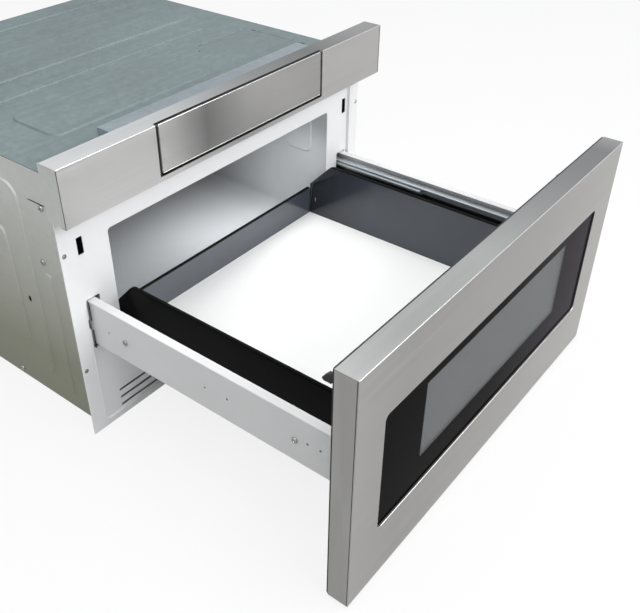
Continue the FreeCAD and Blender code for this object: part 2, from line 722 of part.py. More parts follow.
def channel(name, back, reach, tall, low, high):
    """A rolled C section that runs front to back on the slide centre line."""
    body = new_body(name) if name else doc.addObject("PartDesign::Body", "body")
    sign = "+" if VALUE[reach] > VALUE[back] else "-"
    web = "%s %s gauge" % (back, sign)
    pad = prism(body, "XZ", [[
        (back, "slide_mid - " + tall), (reach, "slide_mid - " + tall),
        (reach, "slide_mid - %s + gauge" % tall), (web, "slide_mid - %s + gauge" % tall),
        (web, "slide_mid + %s - gauge" % tall), (reach, "slide_mid + %s - gauge" % tall),
        (reach, "slide_mid + " + tall), (back, "slide_mid + " + tall),
    ]], low, high)
    pad.recompute(True)
    bend = body.newObject("PartDesign::Fillet", "bend")
    level = VALUE[back]
    corners = ["Edge%d" % i for i, edge in enumerate(pad.Shape.Edges, 1)
               if edge.Length > 50 and abs(edge.Vertexes[0].X - level) < 0.01]
    bend.Base = (pad, corners)
    bend.Radius = 2.5
    return body


def make_cage(inside, outside, reach_low, reach_high, low, high):
    """A strip above and one below, each with its row of balls seated in round pockets."""
    pieces = []
    for sign in ("-", "+"):
        ends = ["slide_mid %s (%s)" % (sign, level) for level in (inside + " + 1.1", outside + " - gauge - 1.1")]
        bottom, top = ends if sign == "+" else ends[::-1]
        strip = box((reach_low, reach_high), (low, high), (bottom, top))
        balls = []
        pockets = []
        for step in range(3):
            centre = "%s + (%s - (%s)) * %g" % (low, high, low, 0.15 + 0.35 * step)
            ball = doc.addObject("Part::Sphere", "ball")
            bind(ball, "Radius", "ball")
            bind(ball, "Placement.Base.x", "(%s + %s) / 2" % (reach_low, reach_high))
            bind(ball, "Placement.Base.y", centre)
            bind(ball, "Placement.Base.z", "slide_mid %s (%s + %s - gauge) / 2" % (sign, inside, outside))
            balls.append(ball)
            pockets.append(rod("z", "(%s + %s) / 2" % (reach_low, reach_high), centre,
                               "slide_mid %s (%s) - 4" % (sign, inside), "ball + 0.05", "12"))
        pieces += [cut(strip, *pockets)] + balls
    return pieces


def make_bracket():
    """A tall bracket that carries a slide, with a foot on the base pan and lightening holes."""
    web = box(("bracket_in", "bracket_out"), ("plate_front + 2 * steel", "205"), ("steel", "202"))
    foot = box(("bracket_in - 18", "bracket_out"), ("plate_front + 2 * steel", "205"), ("steel", "steel + gauge"))
    top = box(("bracket_in - 12", "bracket_out"), ("plate_front + 2 * steel", "205"), ("202 - gauge", "202"))
    holes = [soft_box(("bracket_in - 5", "bracket_out + 5"), (str(-150 + 120 * i), str(-70 + 120 * i)), ("40", "130"),
                      "x", 15) for i in range(1, 3)]
    shaft_hole = rod("x", "bracket_in - 5", "pinion_y", "pinion_z", "4", "12")
    return cut(fuse(web, foot, top), shaft_hole, *holes)


def involute_half_angle(radius):
    """Half the angle that a pinion tooth spans at a radius, thinned for its share of the play."""
    pitch = VALUE["tooth_module"] * VALUE["pinion_teeth"] / 2
    pressure = math.radians(20)
    base = pitch * math.cos(pressure)
    turn = math.acos(min(1, base / radius))
    thin = VALUE["backlash"] / 4 / pitch
    grow = math.tan(pressure) - pressure - math.tan(turn) + turn
    return math.pi / 2 / VALUE["pinion_teeth"] + grow - thin


def make_pinion():
    """Involute teeth round a hub, on the shaft that enters the gearbox; the first tooth points up."""
    body = new_body("drive_pinion")
    pitch = VALUE["tooth_module"] * VALUE["pinion_teeth"] / 2
    root = pitch - 1.25 * VALUE["tooth_module"]
    tip = pitch + VALUE["tooth_module"]
    left = "-outer_back + 2"
    for low, radius, length in ((left, "tooth_module * (pinion_teeth / 2 - 1.25)", "7"),
                                (left + " + 7", "gear_shaft", "outer_back - bracket_in - 3")):
        pad = body.newObject("PartDesign::Pad", "pad")
        pad.Profile = circle(body, "YZ", low, radius)
        bind(pad, "Length", length)
    flank = [(r, involute_half_angle(r)) for r in (pitch * 0.95, pitch, (pitch + tip) / 2, tip)]
    flank.insert(0, (root - 0.4, flank[0][1]))
    points = [(r * math.sin(a), r * math.cos(a)) for r, a in flank]
    points += [(-y, z) for y, z in reversed(points)]
    tooth = outline(body, "YZ", left, [("%.4f" % y, "%.4f" % z) for y, z in points])
    one = body.newObject("PartDesign::Pad", "tooth")
    one.Profile = tooth
    bind(one, "Length", "7")
    ring_of = body.newObject("PartDesign::PolarPattern", "teeth")
    ring_of.Originals = [one]
    ring_of.Axis = ([f for f in body.Origin.OriginFeatures if f.Role == "X_Axis"][0], [""])
    ring_of.Angle = 360
    bind(ring_of, "Occurrences", "pinion_teeth")
    body.Tip = ring_of
    for axis, text in (("y", "pinion_y"), ("z", "pinion_z")):
        bind(body, "Placement.Base." + axis, text)
    return body


def make_rack():
    """A toothed bar under a ledge on the left rail, teeth down."""
    body = new_body("drive_rack")
    inner, outer = "-outer_back", "-outer_back + 8.5"
    prism(body, "YZ", [rectangle("rack_front", "rack_pitch_z + 2.5", "rack_back", "rack_pitch_z + 8")],
          inner, outer)
    step = math.pi * VALUE["tooth_module"]
    half = step / 4 - VALUE["backlash"] / 4
    slope = math.tan(math.radians(20))
    count = int((VALUE["rack_back"] - VALUE["rack_front"]) / step) - 1
    last = VALUE["pinion_y"] + step / 2 + 2 * step
    points = [(last - half - 2.5 * slope, 2.5), (last - half + 1.8 * slope, -1.8),
              (last + half - 1.8 * slope, -1.8), (last + half + 2.5 * slope, 2.5)]
    tooth = outline(body, "YZ", inner, [("%.4f" % y, "rack_pitch_z + %.2f" % z) for y, z in points])
    one = body.newObject("PartDesign::Pad", "tooth")
    one.Profile = tooth
    bind(one, "Length", "(%s) - (%s)" % (outer, inner))
    row = body.newObject("PartDesign::LinearPattern", "teeth")
    row.Originals = [one]
    row.Direction = ([f for f in body.Origin.OriginFeatures if f.Role == "Y_Axis"][0], [""])
    row.Reversed = True
    row.Length = step * (count - 1)
    row.Occurrences = count
    body.Tip = row
    return body


def make_drive_motor():
    """A flat gearbox on the left bracket, bored for the pinion shaft, with its motor can below."""
    side = ("-bracket_in", "19 - bracket_in")
    box_part = soft_box(side, ("pinion_y - 22", "pinion_y + 26"), ("38", "pinion_z + 16"), "x", 12)
    can = rod("x", "19 - bracket_in", "pinion_y + 2", "58", "16", "46")
    tail = rod("x", "65 - bracket_in", "pinion_y + 2", "58", "5", "4")
    bore = rod("x", "-bracket_in - 1", "pinion_y", "pinion_z", "gear_shaft + 0.05", "9")
    return cut(fuse(box_part, can, tail), bore)


right_cabinet_member = channel("", "bracket_out", "inner_reach", "inner_tall", "-240", "200")
part(group(right_cabinet_member, mirror(right_cabinet_member)), "slide_cabinet_members")
right_middle = channel("slide_middle_right", "middle_back", "middle_reach", "middle_tall", "-421", "-21")
part(mirror(right_middle), "slide_middle_left")
right_drawer_member = channel("", "outer_back", "outer_reach", "outer_tall", "-655", "-220")
right_drawer_member = cut(right_drawer_member, *[rod("x", "outer_back - 4", spot, "screw_z", "1.6", "8")
                                                 for spot in ("screw_near", "screw_far")])
part(group(right_drawer_member, mirror(right_drawer_member)), "slide_drawer_members")
for name, inside, outside, near, far, low, high in (
    ("inner_ball_cages", "inner_tall", "middle_tall", "254", "258.6", "-232", "-60"),
    ("outer_ball_cages", "middle_tall", "outer_tall", "255.5", "261.2", "-412", "-240"),
):
    side = make_cage(inside, outside, near, far, low, high)
    part(group(*(side + [mirror(piece) for piece in side])), name)
bracket = make_bracket()
part(group(bracket, mirror(bracket)), "slide_brackets")
make_pinion()
make_rack()
part(make_drive_motor(), "drive_motor")


# Latch heads with their levers and switches.


def make_latch_head():
    """A moulded box that the hook enters from the front, with the pin of its lever."""
    case = shell(("head_in", "head_out"), ("plate_front + steel", "head_back"), ("266", "300"), "steel", "-y", "y", 2)
    ears = soft_box(("head_in - 9", "head_in + 0.5"), ("plate_front + steel", "plate_front + steel + 2.5"),
                    ("276", "290"), "y", 2)
    return fuse(case, ears, rod("x", "head_in", "lever_y", "lever_z", "lever_pin", "head_out - head_in"))


def make_lever():
    """The right latch lever: an eye on its pin and a toe that hangs behind the closed hook."""
    body = new_body("latch_lever_right")
    prism(body, "YZ", [[("-4", "1"), ("-3", "4"), ("0", "4.8"), ("3.5", "4"), ("4.5", "0"), ("0", "-14"), ("-5.5", "-17"),
                        ("-5.8", "-13")]], "latch_x - 3.5", "latch_x + 3.5")
    hole = body.newObject("PartDesign::Pocket", "eye")
    hole.Profile = circle(body, "YZ", "latch_x + 4", "lever_pin + 0.05")
    bind(hole, "Length", "8")
    bind(body, "Placement.Base.y", "lever_y")
    bind(body, "Placement.Base.z", "lever_z")
    return body


def make_switch(low):
    """A snap-action switch on the inner side of a latch head, with its plunger and terminals."""
    case = soft_box(("head_in - 7", "head_in"), ("-256", "-236"), (low, low + " + 10"), "x", 1)
    plunger = rod("y", "head_in - 3.5", "-236", low + " + 5", "1.5", "2")
    legs = [box(("head_in - 4", "head_in - 3"), (str(y), str(y + 2)), (low + " + 10", low + " + 13"))
            for y in (-254, -248, -240)]
    return fuse(case, plunger, *legs)


latch_head = make_latch_head()
part(group(latch_head, mirror(latch_head)), "latch_heads")
right_lever = make_lever()
part(mirror(right_lever), "latch_lever_left")
switches = [make_switch("291"), make_switch("262.5")]
part(group(*(switches + [mirror(switch) for switch in switches])), "interlock_switches")


# Fascia, control bay and the tilting control panel.


def make_fascia():
    """A stainless sheet folded over at the top and back at the bottom, cut away for the panel."""
    body = doc.addObject("PartDesign::Body", "body")
    back = "face + fascia_depth"
    wrap = prism(body, "YZ", [[
        ("face", "fascia_low"), ("face + 9", "fascia_low"), ("face + 9", "fascia_low + steel"),
        ("face + steel", "fascia_low + steel"), ("face + steel", "fascia_high - steel"),
        (back + " - steel", "fascia_high - steel"), (back + " - steel", "fascia_high - 9.3"),
        (back, "fascia_high - 9.3"), (back, "fascia_high"), ("face", "fascia_high"),
    ]], "-front_half", "front_half")
    wrap.recompute(True)
    folds = ["Edge%d" % i for i, edge in enumerate(wrap.Shape.Edges, 1)
             if edge.Length > 50 and abs(edge.Vertexes[0].Y - VALUE["face"]) < 0.01]
    bend = body.newObject("PartDesign::Fillet", "bend")
    bend.Base = (wrap, folds)
    bend.Radius = 0.9
    opening = soft_box(("-opening_half", "opening_half"), ("face - 1", "face + 1.5"),
                       ("opening_low", "fascia_high + 20"), "y", 2)
    notch = box(("-opening_half", "opening_half"), ("face - 1", "face + 3.2"),
                ("fascia_high - steel - 0.5", "fascia_high + 1"))
    ends = [box((low, high), (back + " - steel - 0.1", back + " + 1"), ("fascia_low", "fascia_high - steel"))
            for low, high in (("-front_half - 1", "2 - front_half"), ("front_half - 2", "front_half + 1"))]
    return cut(body, opening, notch, *ends)


def make_fascia_end():
    """The bracket that closes the right end of the fascia and ties it to the flange."""
    side = box(("front_half - 1.6", "front_half - 0.6"), ("face + steel + 0.7", "flange_front"),
               ("fascia_low + steel", "fascia_high - steel"))
    foot = box(("front_half - 24", "front_half - 0.6"), ("flange_front - steel", "flange_front"),
               ("fascia_low + steel", "plate_top"))
    return fuse(side, foot)


def make_control_bay():
    """The raised box behind the fascia, with a tongue and two ears that carry the hinge pins."""
    bay = shell(("-bay_half", "bay_half"), ("flange_front - 2", "bay_back"), ("bay_low", "bay_top"), "steel", "-y")
    tongue = box(("-167", "167"), ("face + 3", "flange_front"), ("bay_low", "bay_low + steel"))
    ear = fuse(
        box(("161", "162.5"), ("pivot_y - 7", "pivot_y + 7"), ("bay_low", "pivot_z")),
        rod("x", "161", "pivot_y", "pivot_z", "7", "1.5"),
    )
    bore = rod("x", "150", "pivot_y", "pivot_z", "pin", "20")
    return cut(fuse(bay, tongue, ear, mirror(ear)), bore, mirror(bore))


def make_panel_front():
    """The stainless front of the control panel: its upper edge stands in a notch of the fascia."""
    pan = shell(("-panel_half", "panel_half"), ("face", "face + 5.5"), ("panel_low", "fascia_high - 0.4"),
                "steel", "+y", "y", 3)
    return cut(pan, box(("-panel_half - 1", "panel_half + 1"), ("face + 1.4", "face + 6"),
                        ("panel_high - 1.4", "fascia_high + 1")))


def make_panel_housing():
    """The moulded carrier: a web behind the front, a deck, two cheeks and the hinge bosses."""
    wide = ("-150", "150")
    pieces = [
        box(wide, ("face + steel", "face + 4"), ("panel_low + 1.5", "panel_high - 1.2")),
        box(wide, ("face + steel", "deck_back"), ("deck - 3", "deck")),
        cut(box(wide, ("face + 4", "deck_back"), ("deck", "deck + glass")),
            soft_box(("-141", "141"), ("face + 7", "deck_back - 2"), ("deck - 1", "deck + glass + 1"), "z", 2)),
    ]
    cheek = doc.addObject("PartDesign::Body", "body")
    prism(cheek, "YZ", [[
        ("pivot_y - 4.2", "pivot_z - 4.4"), ("pivot_y + 6", "pivot_z - 4.4"), ("deck_back", "deck - 9"),
        ("deck_back", "deck"), ("face + 3", "deck"), ("face + 3", "panel_low + 1.5"),
        ("pivot_y - 4.2", "panel_low + 1.5"),
    ]], "146", "150")
    boss = rod("x", "149", "pivot_y", "pivot_z", "4.3", "4.5")
    bore = rod("x", "140", "pivot_y", "pivot_z", "pin + 0.08", "20")
    rib = box(("0", "2"), ("face + 3", "deck_back - 4"), ("deck - 12", "deck - 2"))
    ribs = [moved(rib, str(across)) for across in (-101, -51, -1, 49, 99)]
    return cut(fuse(*pieces, cheek, mirror(cheek), boss, mirror(boss), *ribs), bore, mirror(bore))


part(make_fascia(), "fascia")
fascia_end = make_fascia_end()
part(group(fascia_end, mirror(fascia_end)), "fascia_ends")
part(make_control_bay(), "control_bay")
part(make_panel_front(), "panel_front")
part(make_panel_housing(), "panel_housing")
part(soft_box(("-140.5", "140.5"), ("face + 7.5", "deck_back - 2.5"), ("deck", "deck + glass"), "z", 1.5), "touch_glass")
hinge_pin = rod("x", "145", "pivot_y", "pivot_z", "pin", "20")
part(group(hinge_pin, mirror(hinge_pin)), "panel_hinge_pins")
board = soft_box(("-95", "95"), ("face + 8", "deck_back - 6"), ("deck - 15.6", "deck - 14"), "z", 2)
part(fuse(
    board,
    box(("-60", "60"), ("face + 12", "deck_back - 16"), ("deck - 14", "deck - 12")),
    soft_box(("-88", "-70"), ("face + 14", "face + 32"), ("deck - 18", "deck - 15.6"), "z", 1),
    soft_box(("70", "88"), ("face + 14", "face + 32"), ("deck - 22", "deck - 15.6"), "z", 1),
), "control_board")


# Door.


def make_door_skin():
    """The stainless front: a shallow pan with a window whose edge turns in to the glass."""
    pan = shell(("-front_half", "front_half"), ("door_face", "door_face + door_depth"), ("door_low", "door_high"),
                "steel", "+y")
    front = VALUE["door_face"]
    pan = rounded(pan, 0.9, lambda edge: edge.Length > 50 and all(abs(v.Y - front) < 0.01 for v in edge.Vertexes))
    outer = soft_box(("-window_half - steel", "window_half + steel"), ("door_face + 0.5", "door_face + reveal"),
                     ("window_low - steel", "window_high + steel"), "y", 9)
    hole = soft_box(("-window_half", "window_half"), ("door_face - 1", "door_face + reveal + 1"),
                    ("window_low", "window_high"), "y", 8)
    seam = box(("front_half - 0.6", "front_half + 1"), ("door_face + steel", "door_face + steel + 0.9"),
               ("door_low - 1", "door_high - steel"))
    return cut(fuse(pan, outer), hole, seam, mirror(seam))


def make_door_frame():
    """The inner steel stamping: a raised see-through field and a turned edge all round."""
    base = "door_face + door_depth - steel"
    plate = shell(("-front_half + 3", "front_half - 3"), ("door_back - 16", "door_face + door_depth"),
                  ("door_low + 3", "door_high - 3"), "steel", "-y")
    hat = shell(("-view_half - 14", "view_half + 14"), ("door_face + 7.5", "door_face + door_depth"),
                ("view_low - 14", "view_high + 14"), "steel", "+y", "y", 10)
    inside = soft_box(("-view_half - 13", "view_half + 13"), (base + " - 1", base + " + 2"),
                      ("view_low - 13", "view_high + 13"), "y", 9)
    return cut(fuse(plate, hat), inside)


def make_hook():
    """The right latch hook: a foot on the door, an arm and a barbed head."""
    body = doc.addObject("PartDesign::Body", "body")
    prism(body, "YZ", [[
        ("door_back", "hook_low - 6"), ("door_back + 3", "hook_low - 6"), ("door_back + 3", "hook_low + 1"),
        ("door_back + 6", "hook_low + 2"), ("hook_tip - 13", "hook_low + 2"), ("hook_tip - 11", "hook_low - 0.5"),
        ("hook_tip - 2.5", "hook_low - 0.5"), ("hook_tip", "hook_low + 1.5"), ("hook_tip - 0.5", "hook_low + 3.5"),
        ("hook_tip - 6", "hook_low + 9.5"), ("hook_tip - 11", "hook_low + 10.5"), ("hook_tip - 12.5", "hook_low + 9"),
        ("hook_tip - 12.5", "hook_low + 6"), ("door_back + 6", "hook_low + 6"), ("door_back + 3", "hook_low + 8"),
        ("door_back + 3", "hook_low + 15"), ("door_back", "hook_low + 15"),
    ]], "latch_x - 3", "latch_x + 3")
    return body


part(make_door_skin(), "door_skin")
part(soft_box(("-window_half - 5", "window_half + 5"), ("door_face + reveal", "door_face + reveal + pane"),
              ("window_low - 5", "window_high + 5"), "y", 8), "door_glass")
part(make_door_frame(), "door_frame")
plate = box(("-front_half + 0.6", "front_half - 0.6"), ("door_face + door_depth", "door_back"),
            ("door_low + 0.6", "door_high - 0.6"))
plate.recompute(True)
notched = doc.addObject("Part::Chamfer", "notched")
notched.Base = plate
notched.Edges = [(i, 4, 4) for i, edge in enumerate(plate.Shape.Edges, 1)
                 if edge.Length < 2 and edge.Vertexes[0].Z > 200]
part(cut(notched, soft_box(("-view_half - 8", "view_half + 8"), ("door_back - 5", "door_back + 5"),
                           ("view_low - 4", "view_high + 4"), "y", 6)), "door_back")
part(cut(
    soft_box(("-247", "247"), ("door_back", "door_back + 6.4"), ("66", "306"), "y", 14),
    soft_box(("-216.5", "216.5"), ("door_back - 1", "door_back + 8"), ("92", "281"), "y", 8),
    cut(soft_box(("-243", "243"), ("door_back - 1", "door_back + 4.4"), ("70", "302"), "y", 11),
        soft_box(("-220.5", "220.5"), ("door_back - 2", "door_back + 5"), ("88", "285"), "y", 11)),
), "choke_cover")
hook = make_hook()
part(group(hook, mirror(hook)), "latch_hooks")


# Rails and tray.


def make_rail():
    """The right rail beam: a web, a folded top flange, a foot against the door and its holes."""
    body = doc.addObject("PartDesign::Body", "body")
    beam = prism(body, "XZ", [[
        ("rail_out - gauge", "rail_low"), ("rail_out", "rail_low"), ("rail_out", "rail_high"),
        ("rail_flange", "rail_high"), ("rail_flange", "rail_high - gauge"), ("rail_out - gauge", "rail_high - gauge"),
    ]], "door_back", "rail_back")
    beam.recompute(True)
    fold = ["Edge%d" % i for i, edge in enumerate(beam.Shape.Edges, 1)
            if edge.Length > 50 and all(abs(v.X - VALUE["rail_out"]) + abs(v.Z - VALUE["rail_high"]) < 0.01
                                        for v in edge.Vertexes)]
    bend = body.newObject("PartDesign::Fillet", "bend")
    bend.Base = (beam, fold)
    bend.Radius = 1.4
    foot = box(("rail_flange - 4", "rail_out"), ("door_back", "door_back + gauge"), ("rail_low", "rail_high"))
    end = doc.addObject("PartDesign::Body", "body")
    prism(end, "YZ", [[("rail_back - 12", "rail_low - 1"), ("rail_back + 1", "rail_low - 1"),
                       ("rail_back + 1", "rail_low + 12")]], "250", "270")
    holes = [rod("x", "rail_out - 4", y, z, "1.6", "8") for y, z in
             (("screw_near", "screw_z"), ("screw_far", "screw_z"), ("-297", "170.5"), ("-460", "171"), ("-494", "172"), ("-608", "173.5"), ("-625", "174.5"))]
    return cut(fuse(body, foot), end, *holes)


def make_tray_side():
    """The right tray wall: it leans out, has a flat rim, and its rear corner is cut on the slant."""
    body = doc.addObject("PartDesign::Body", "body")
    prism(body, "XZ", [[
        ("tray_foot - 1.2", "base_top - base_plate"), ("tray_foot + tray_wall - 1.2", "base_top - base_plate"),
        ("tray_lip + tray_wall", "tray_top - 3"), ("tray_lip + tray_wall", "tray_top"), ("tray_lip", "tray_top"),
    ]], "door_back", "tray_end")
    corner = doc.addObject("PartDesign::Body", "body")
    prism(corner, "YZ", [[
        ("tray_end + 1", "tray_top - 40.5"), ("tray_end", "tray_top - 40.5"), ("tray_end - 32.5", "tray_top - 6.5"),
        ("tray_end - 37", "tray_top - 2.2"), ("tray_end - 43", "tray_top"), ("tray_end - 43", "tray_top + 2"),
        ("tray_end + 1", "tray_top + 2"),
    ]], "180", "230")
    slot = soft_box(("190", "220"), ("-257.5", "-253.5"), ("132.5", "142.5"), "x", 1.9)
    return cut(body, corner, slot)


def make_tray_frame():
    """The frame under the ceramic base, open in the middle."""
    outer = ("-tray_foot - 3", "tray_foot + 3")
    return cut(
        soft_box(outer, ("door_back", "tray_end"), ("tray_low", "base_top - base_plate"), "z", 6),
        soft_box(("22 - tray_foot", "tray_foot - 22"), ("door_back + 20", "tray_back - 18"),
                 ("tray_low - 1", "base_top"), "z", 2),
    )


part(make_rail(), "rail_right")
part(mirror(PARTS[-1]), "rail_left")
right_wall = part(make_tray_side(), "tray_side_right")
part(mirror(right_wall), "tray_side_left")
part(soft_box(("2.2 - tray_foot", "tray_foot - 2.2"), ("tray_back", "tray_back + 2.2"),
              ("base_top - base_plate", "rear_top"), "y", 5), "tray_rear")
part(make_tray_frame(), "tray_frame")
part(box(("1.3 - tray_foot", "tray_foot - 1.3"), ("door_back", "tray_back"), ("base_top - base_plate", "base_top")),
     "ceramic_base")
rail_screws = []
for spot in ("screw_near", "screw_far"):
    screw = fuse(rod("x", "outer_back - gauge", spot, "screw_z", "1.6", "gauge * 2 + 2"),
                 rod("x", "rail_out", spot, "screw_z", "3.2", "2.2"))
    rail_screws += [screw, mirror(screw)]
part(group(*rail_screws), "rail_screws")
cabinet_screws = []
for spot_y, spot_z in (("-219", "322.5"), ("-199.4", "239.5"), ("-87.5", "10"), ("120", "10"), ("245", "200")):
    screw = rounded(rod("x", "body_half", spot_y, spot_z, "3.6", "2"), 1.4,
                    lambda edge: edge.Curve.TypeId == "Part::GeomCircle" and edge.Vertexes[0].X > 278)
    cabinet_screws += [screw, mirror(screw)]
part(group(*cabinet_screws), "cabinet_screws")

doc.recompute()
for thing in doc.Objects:
    if "Invalid" in thing.State or "Error" in thing.State:
        raise RuntimeError("%s is %s" % (thing.Name, thing.State))
os.makedirs("parts", exist_ok=True)
for thing in PARTS:
    if thing.Shape.isNull() or not thing.Shape.isValid():
        raise RuntimeError("%s has a bad shape" % thing.Label)
    thing.Shape.exportStep("parts/%s.step" % thing.Label)
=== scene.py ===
"""Dresses the microwave drawer: a finish for every CAD piece, small modelled pieces, light and camera."""

import json
import math

import bmesh
import bpy
from mathutils import Matrix, Vector


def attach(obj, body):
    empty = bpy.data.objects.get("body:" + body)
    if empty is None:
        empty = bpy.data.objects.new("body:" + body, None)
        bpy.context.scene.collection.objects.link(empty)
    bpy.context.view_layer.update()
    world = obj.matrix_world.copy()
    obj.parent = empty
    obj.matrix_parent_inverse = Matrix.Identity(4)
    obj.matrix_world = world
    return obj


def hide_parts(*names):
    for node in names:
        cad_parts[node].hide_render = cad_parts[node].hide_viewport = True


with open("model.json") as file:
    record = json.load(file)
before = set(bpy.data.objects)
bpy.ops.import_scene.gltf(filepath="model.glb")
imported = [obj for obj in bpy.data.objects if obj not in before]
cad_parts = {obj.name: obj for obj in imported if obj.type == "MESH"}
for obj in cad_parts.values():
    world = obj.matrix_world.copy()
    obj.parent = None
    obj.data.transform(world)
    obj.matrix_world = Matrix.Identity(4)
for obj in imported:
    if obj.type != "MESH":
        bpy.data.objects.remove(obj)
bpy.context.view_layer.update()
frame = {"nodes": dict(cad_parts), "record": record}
nodes = frame["nodes"]


# Places on the object, in metres, in its own X, Y and Z.


def reach(name):
    """The lowest and the highest corner of a CAD piece."""
    spots = [nodes[name].matrix_world @ point.co for point in nodes[name].data.vertices]
    low = Vector([min(spot[axis] for spot in spots) for axis in range(3)])
    high = Vector([max(spot[axis] for spot in spots) for axis in range(3)])
    return low, high


fascia_low, fascia_high = reach("fascia")
door_low, door_high = reach("door_skin")
panel_low, panel_high = reach("panel_front")
front_half = fascia_high.x
body_half = 0.277
rail_outer = reach("rail_right")[1].x
slide_centre = 0.1715
frame_front = reach("front_frame")[0].y
tray_wall_top = reach("tray_side_right")[1].z
tray_wall_lean = 0.0882
tray_wall_outside = (0.2092, 0.2096)
tray_rear_outside = (-0.2474, -0.2468)
# Spans in Y and X over which painted shade darkens the cavity enamel towards the rear and the right wall.
shade_depth = (-0.15, 0.03)
shade_side = (0.17, 0.2215)
antenna_y = -0.0527
touch_glass_top = reach("touch_glass")[1].z
mount_x = 0.291
mount_heights = (0.1085, 0.2825)
mount_radius = 0.0025
screen_field = {"half_width": 0.1695, "low": 0.1275, "high": 0.2345, "corner": 0.0015, "soft": 0.0006}


# Steps of a material's node tree. A value or a colour is a socket or a plain constant.

# The Mix node's colour sockets, which share their names with its sockets for plain values.
MIX_FIRST = 6
MIX_SECOND = 7
MIX_RESULT = 2


def new_finish(name):
    finish = bpy.data.materials.new(name)
    finish.use_nodes = True
    tree = finish.node_tree
    return finish, tree, tree.nodes["Principled BSDF"]


def stretched_coordinates(tree, stretch=(1, 1, 1)):
    """Object coordinates, scaled so that a pattern can run along one direction."""
    place = tree.nodes.new("ShaderNodeTexCoord")
    mapping = tree.nodes.new("ShaderNodeMapping")
    mapping.inputs["Scale"].default_value = stretch
    tree.links.new(place.outputs["Object"], mapping.inputs["Vector"])
    return mapping.outputs["Vector"]


def split_axes(tree, vector):
    split = tree.nodes.new("ShaderNodeSeparateXYZ")
    tree.links.new(vector, split.inputs["Vector"])
    return split.outputs["X"], split.outputs["Y"], split.outputs["Z"]


def grain(tree, vector, scale, detail=2.0, rough=0.5):
    noise = tree.nodes.new("ShaderNodeTexNoise")
    noise.inputs["Scale"].default_value = scale
    noise.inputs["Detail"].default_value = detail
    noise.inputs["Roughness"].default_value = rough
    tree.links.new(vector, noise.inputs["Vector"])
    return noise.outputs["Fac"]


def graded(tree, value, stops):
    """A colour ramp from (place, colour) stops."""
    ramp = tree.nodes.new("ShaderNodeValToRGB")
    row = ramp.color_ramp.elements
    while len(row) < len(stops):
        row.new(0.5)
    for mark, (place, colour) in zip(row, stops):
        mark.position = place
        mark.color = (*colour, 1)
    tree.links.new(value, ramp.inputs["Fac"])
    return ramp.outputs["Color"]


def rescaled(tree, value, low, high, first=0.0, last=1.0):
    """Low where the value is first, high where it is last, and nothing past either."""
    span = tree.nodes.new("ShaderNodeMapRange")
    span.inputs["From Min"].default_value = first
    span.inputs["From Max"].default_value = last
    span.inputs["To Min"].default_value = low
    span.inputs["To Max"].default_value = high
    tree.links.new(value, span.inputs["Value"])
    return span.outputs["Result"]


def rising(tree, value, start, end):
    """A share: 0 up to start, and 1 from end on."""
    return rescaled(tree, value, 0.0, 1.0, start, end)


def falling(tree, value, start, end):
    """A share: 1 up to start, and 0 from end on."""
    return rescaled(tree, value, 1.0, 0.0, start, end)


def worked_out(tree, operation, *values):
    step = tree.nodes.new("ShaderNodeMath")
    step.operation = operation
    for socket, value in zip(step.inputs, values):
        if isinstance(value, (int, float)):
            socket.default_value = value
        else:
            tree.links.new(value, socket)
    return step.outputs[0]


def plus(tree, first, second):
    return worked_out(tree, "ADD", first, second)


def minus(tree, first, second):
    return worked_out(tree, "SUBTRACT", first, second)


def times(tree, first, second):
    return worked_out(tree, "MULTIPLY", first, second)


def larger(tree, first, second):
    return worked_out(tree, "MAXIMUM", first, second)


def unsigned(tree, value):
    return worked_out(tree, "ABSOLUTE", value)


def distance(tree, across, up):
    """The length of the diagonal over two measures."""
    return worked_out(tree, "SQRT", plus(tree, times(tree, across, across), times(tree, up, up)))


def weighted(tree, *parts):
    """The sum of (value, weight) pairs."""
    shares = [times(tree, value, weight) for value, weight in parts]
    total = shares[0]
    for share in shares[1:]:
        total = plus(tree, total, share)
    return total


def blended(tree, share, first, second):
    """A mix of two colours."""
    mix = tree.nodes.new("ShaderNodeMix")
    mix.data_type = "RGBA"
    tree.links.new(share, mix.inputs["Factor"])
    for socket, colour in ((mix.inputs[MIX_FIRST], first), (mix.inputs[MIX_SECOND], second)):
        if isinstance(colour, tuple):
            socket.default_value = (*colour, 1)
        else:
            tree.links.new(colour, socket)
    return mix.outputs[MIX_RESULT]


def multiplied(tree, first, second):
    mix = tree.nodes.new("ShaderNodeMix")
    mix.data_type = "RGBA"
    mix.blend_type = "MULTIPLY"
    mix.inputs["Factor"].default_value = 1.0
    tree.links.new(first, mix.inputs[MIX_FIRST])
    tree.links.new(second, mix.inputs[MIX_SECOND])
    return mix.outputs[MIX_RESULT]


def shaded(tree, colour, share, level):
    """The colour, multiplied by a grey or tinted level where share is 1."""
    return multiplied(tree, colour, blended(tree, share, (1.0, 1.0, 1.0), level))


def levels_across(tree, stops):
    """Grey levels along X by (place, level), with place 0 and 1 at the left and right ends of the front."""
    across = split_axes(tree, stretched_coordinates(tree))[0]
    place = rising(tree, across, -front_half, front_half)
    return graded(tree, place, [(place_across, (level,) * 3) for place_across, level in stops])


def raised(tree, shader, height, strength, depth):
    bump = tree.nodes.new("ShaderNodeBump")
    bump.inputs["Strength"].default_value = strength
    bump.inputs["Distance"].default_value = depth
    tree.links.new(height, bump.inputs["Height"])
    tree.links.new(bump.outputs["Normal"], shader.inputs["Normal"])


def orange_peel(tree, shader, place, strength):
    """The faint pimples of a sprayed coat."""
    raised(tree, shader, grain(tree, place, 650.0, 1.0, 0.4), strength, 0.00012)


def surfaced(tree, shader, colour, roughness):
    tree.links.new(colour, shader.inputs["Base Color"])
    tree.links.new(roughness, shader.inputs["Roughness"])


# Finishes.


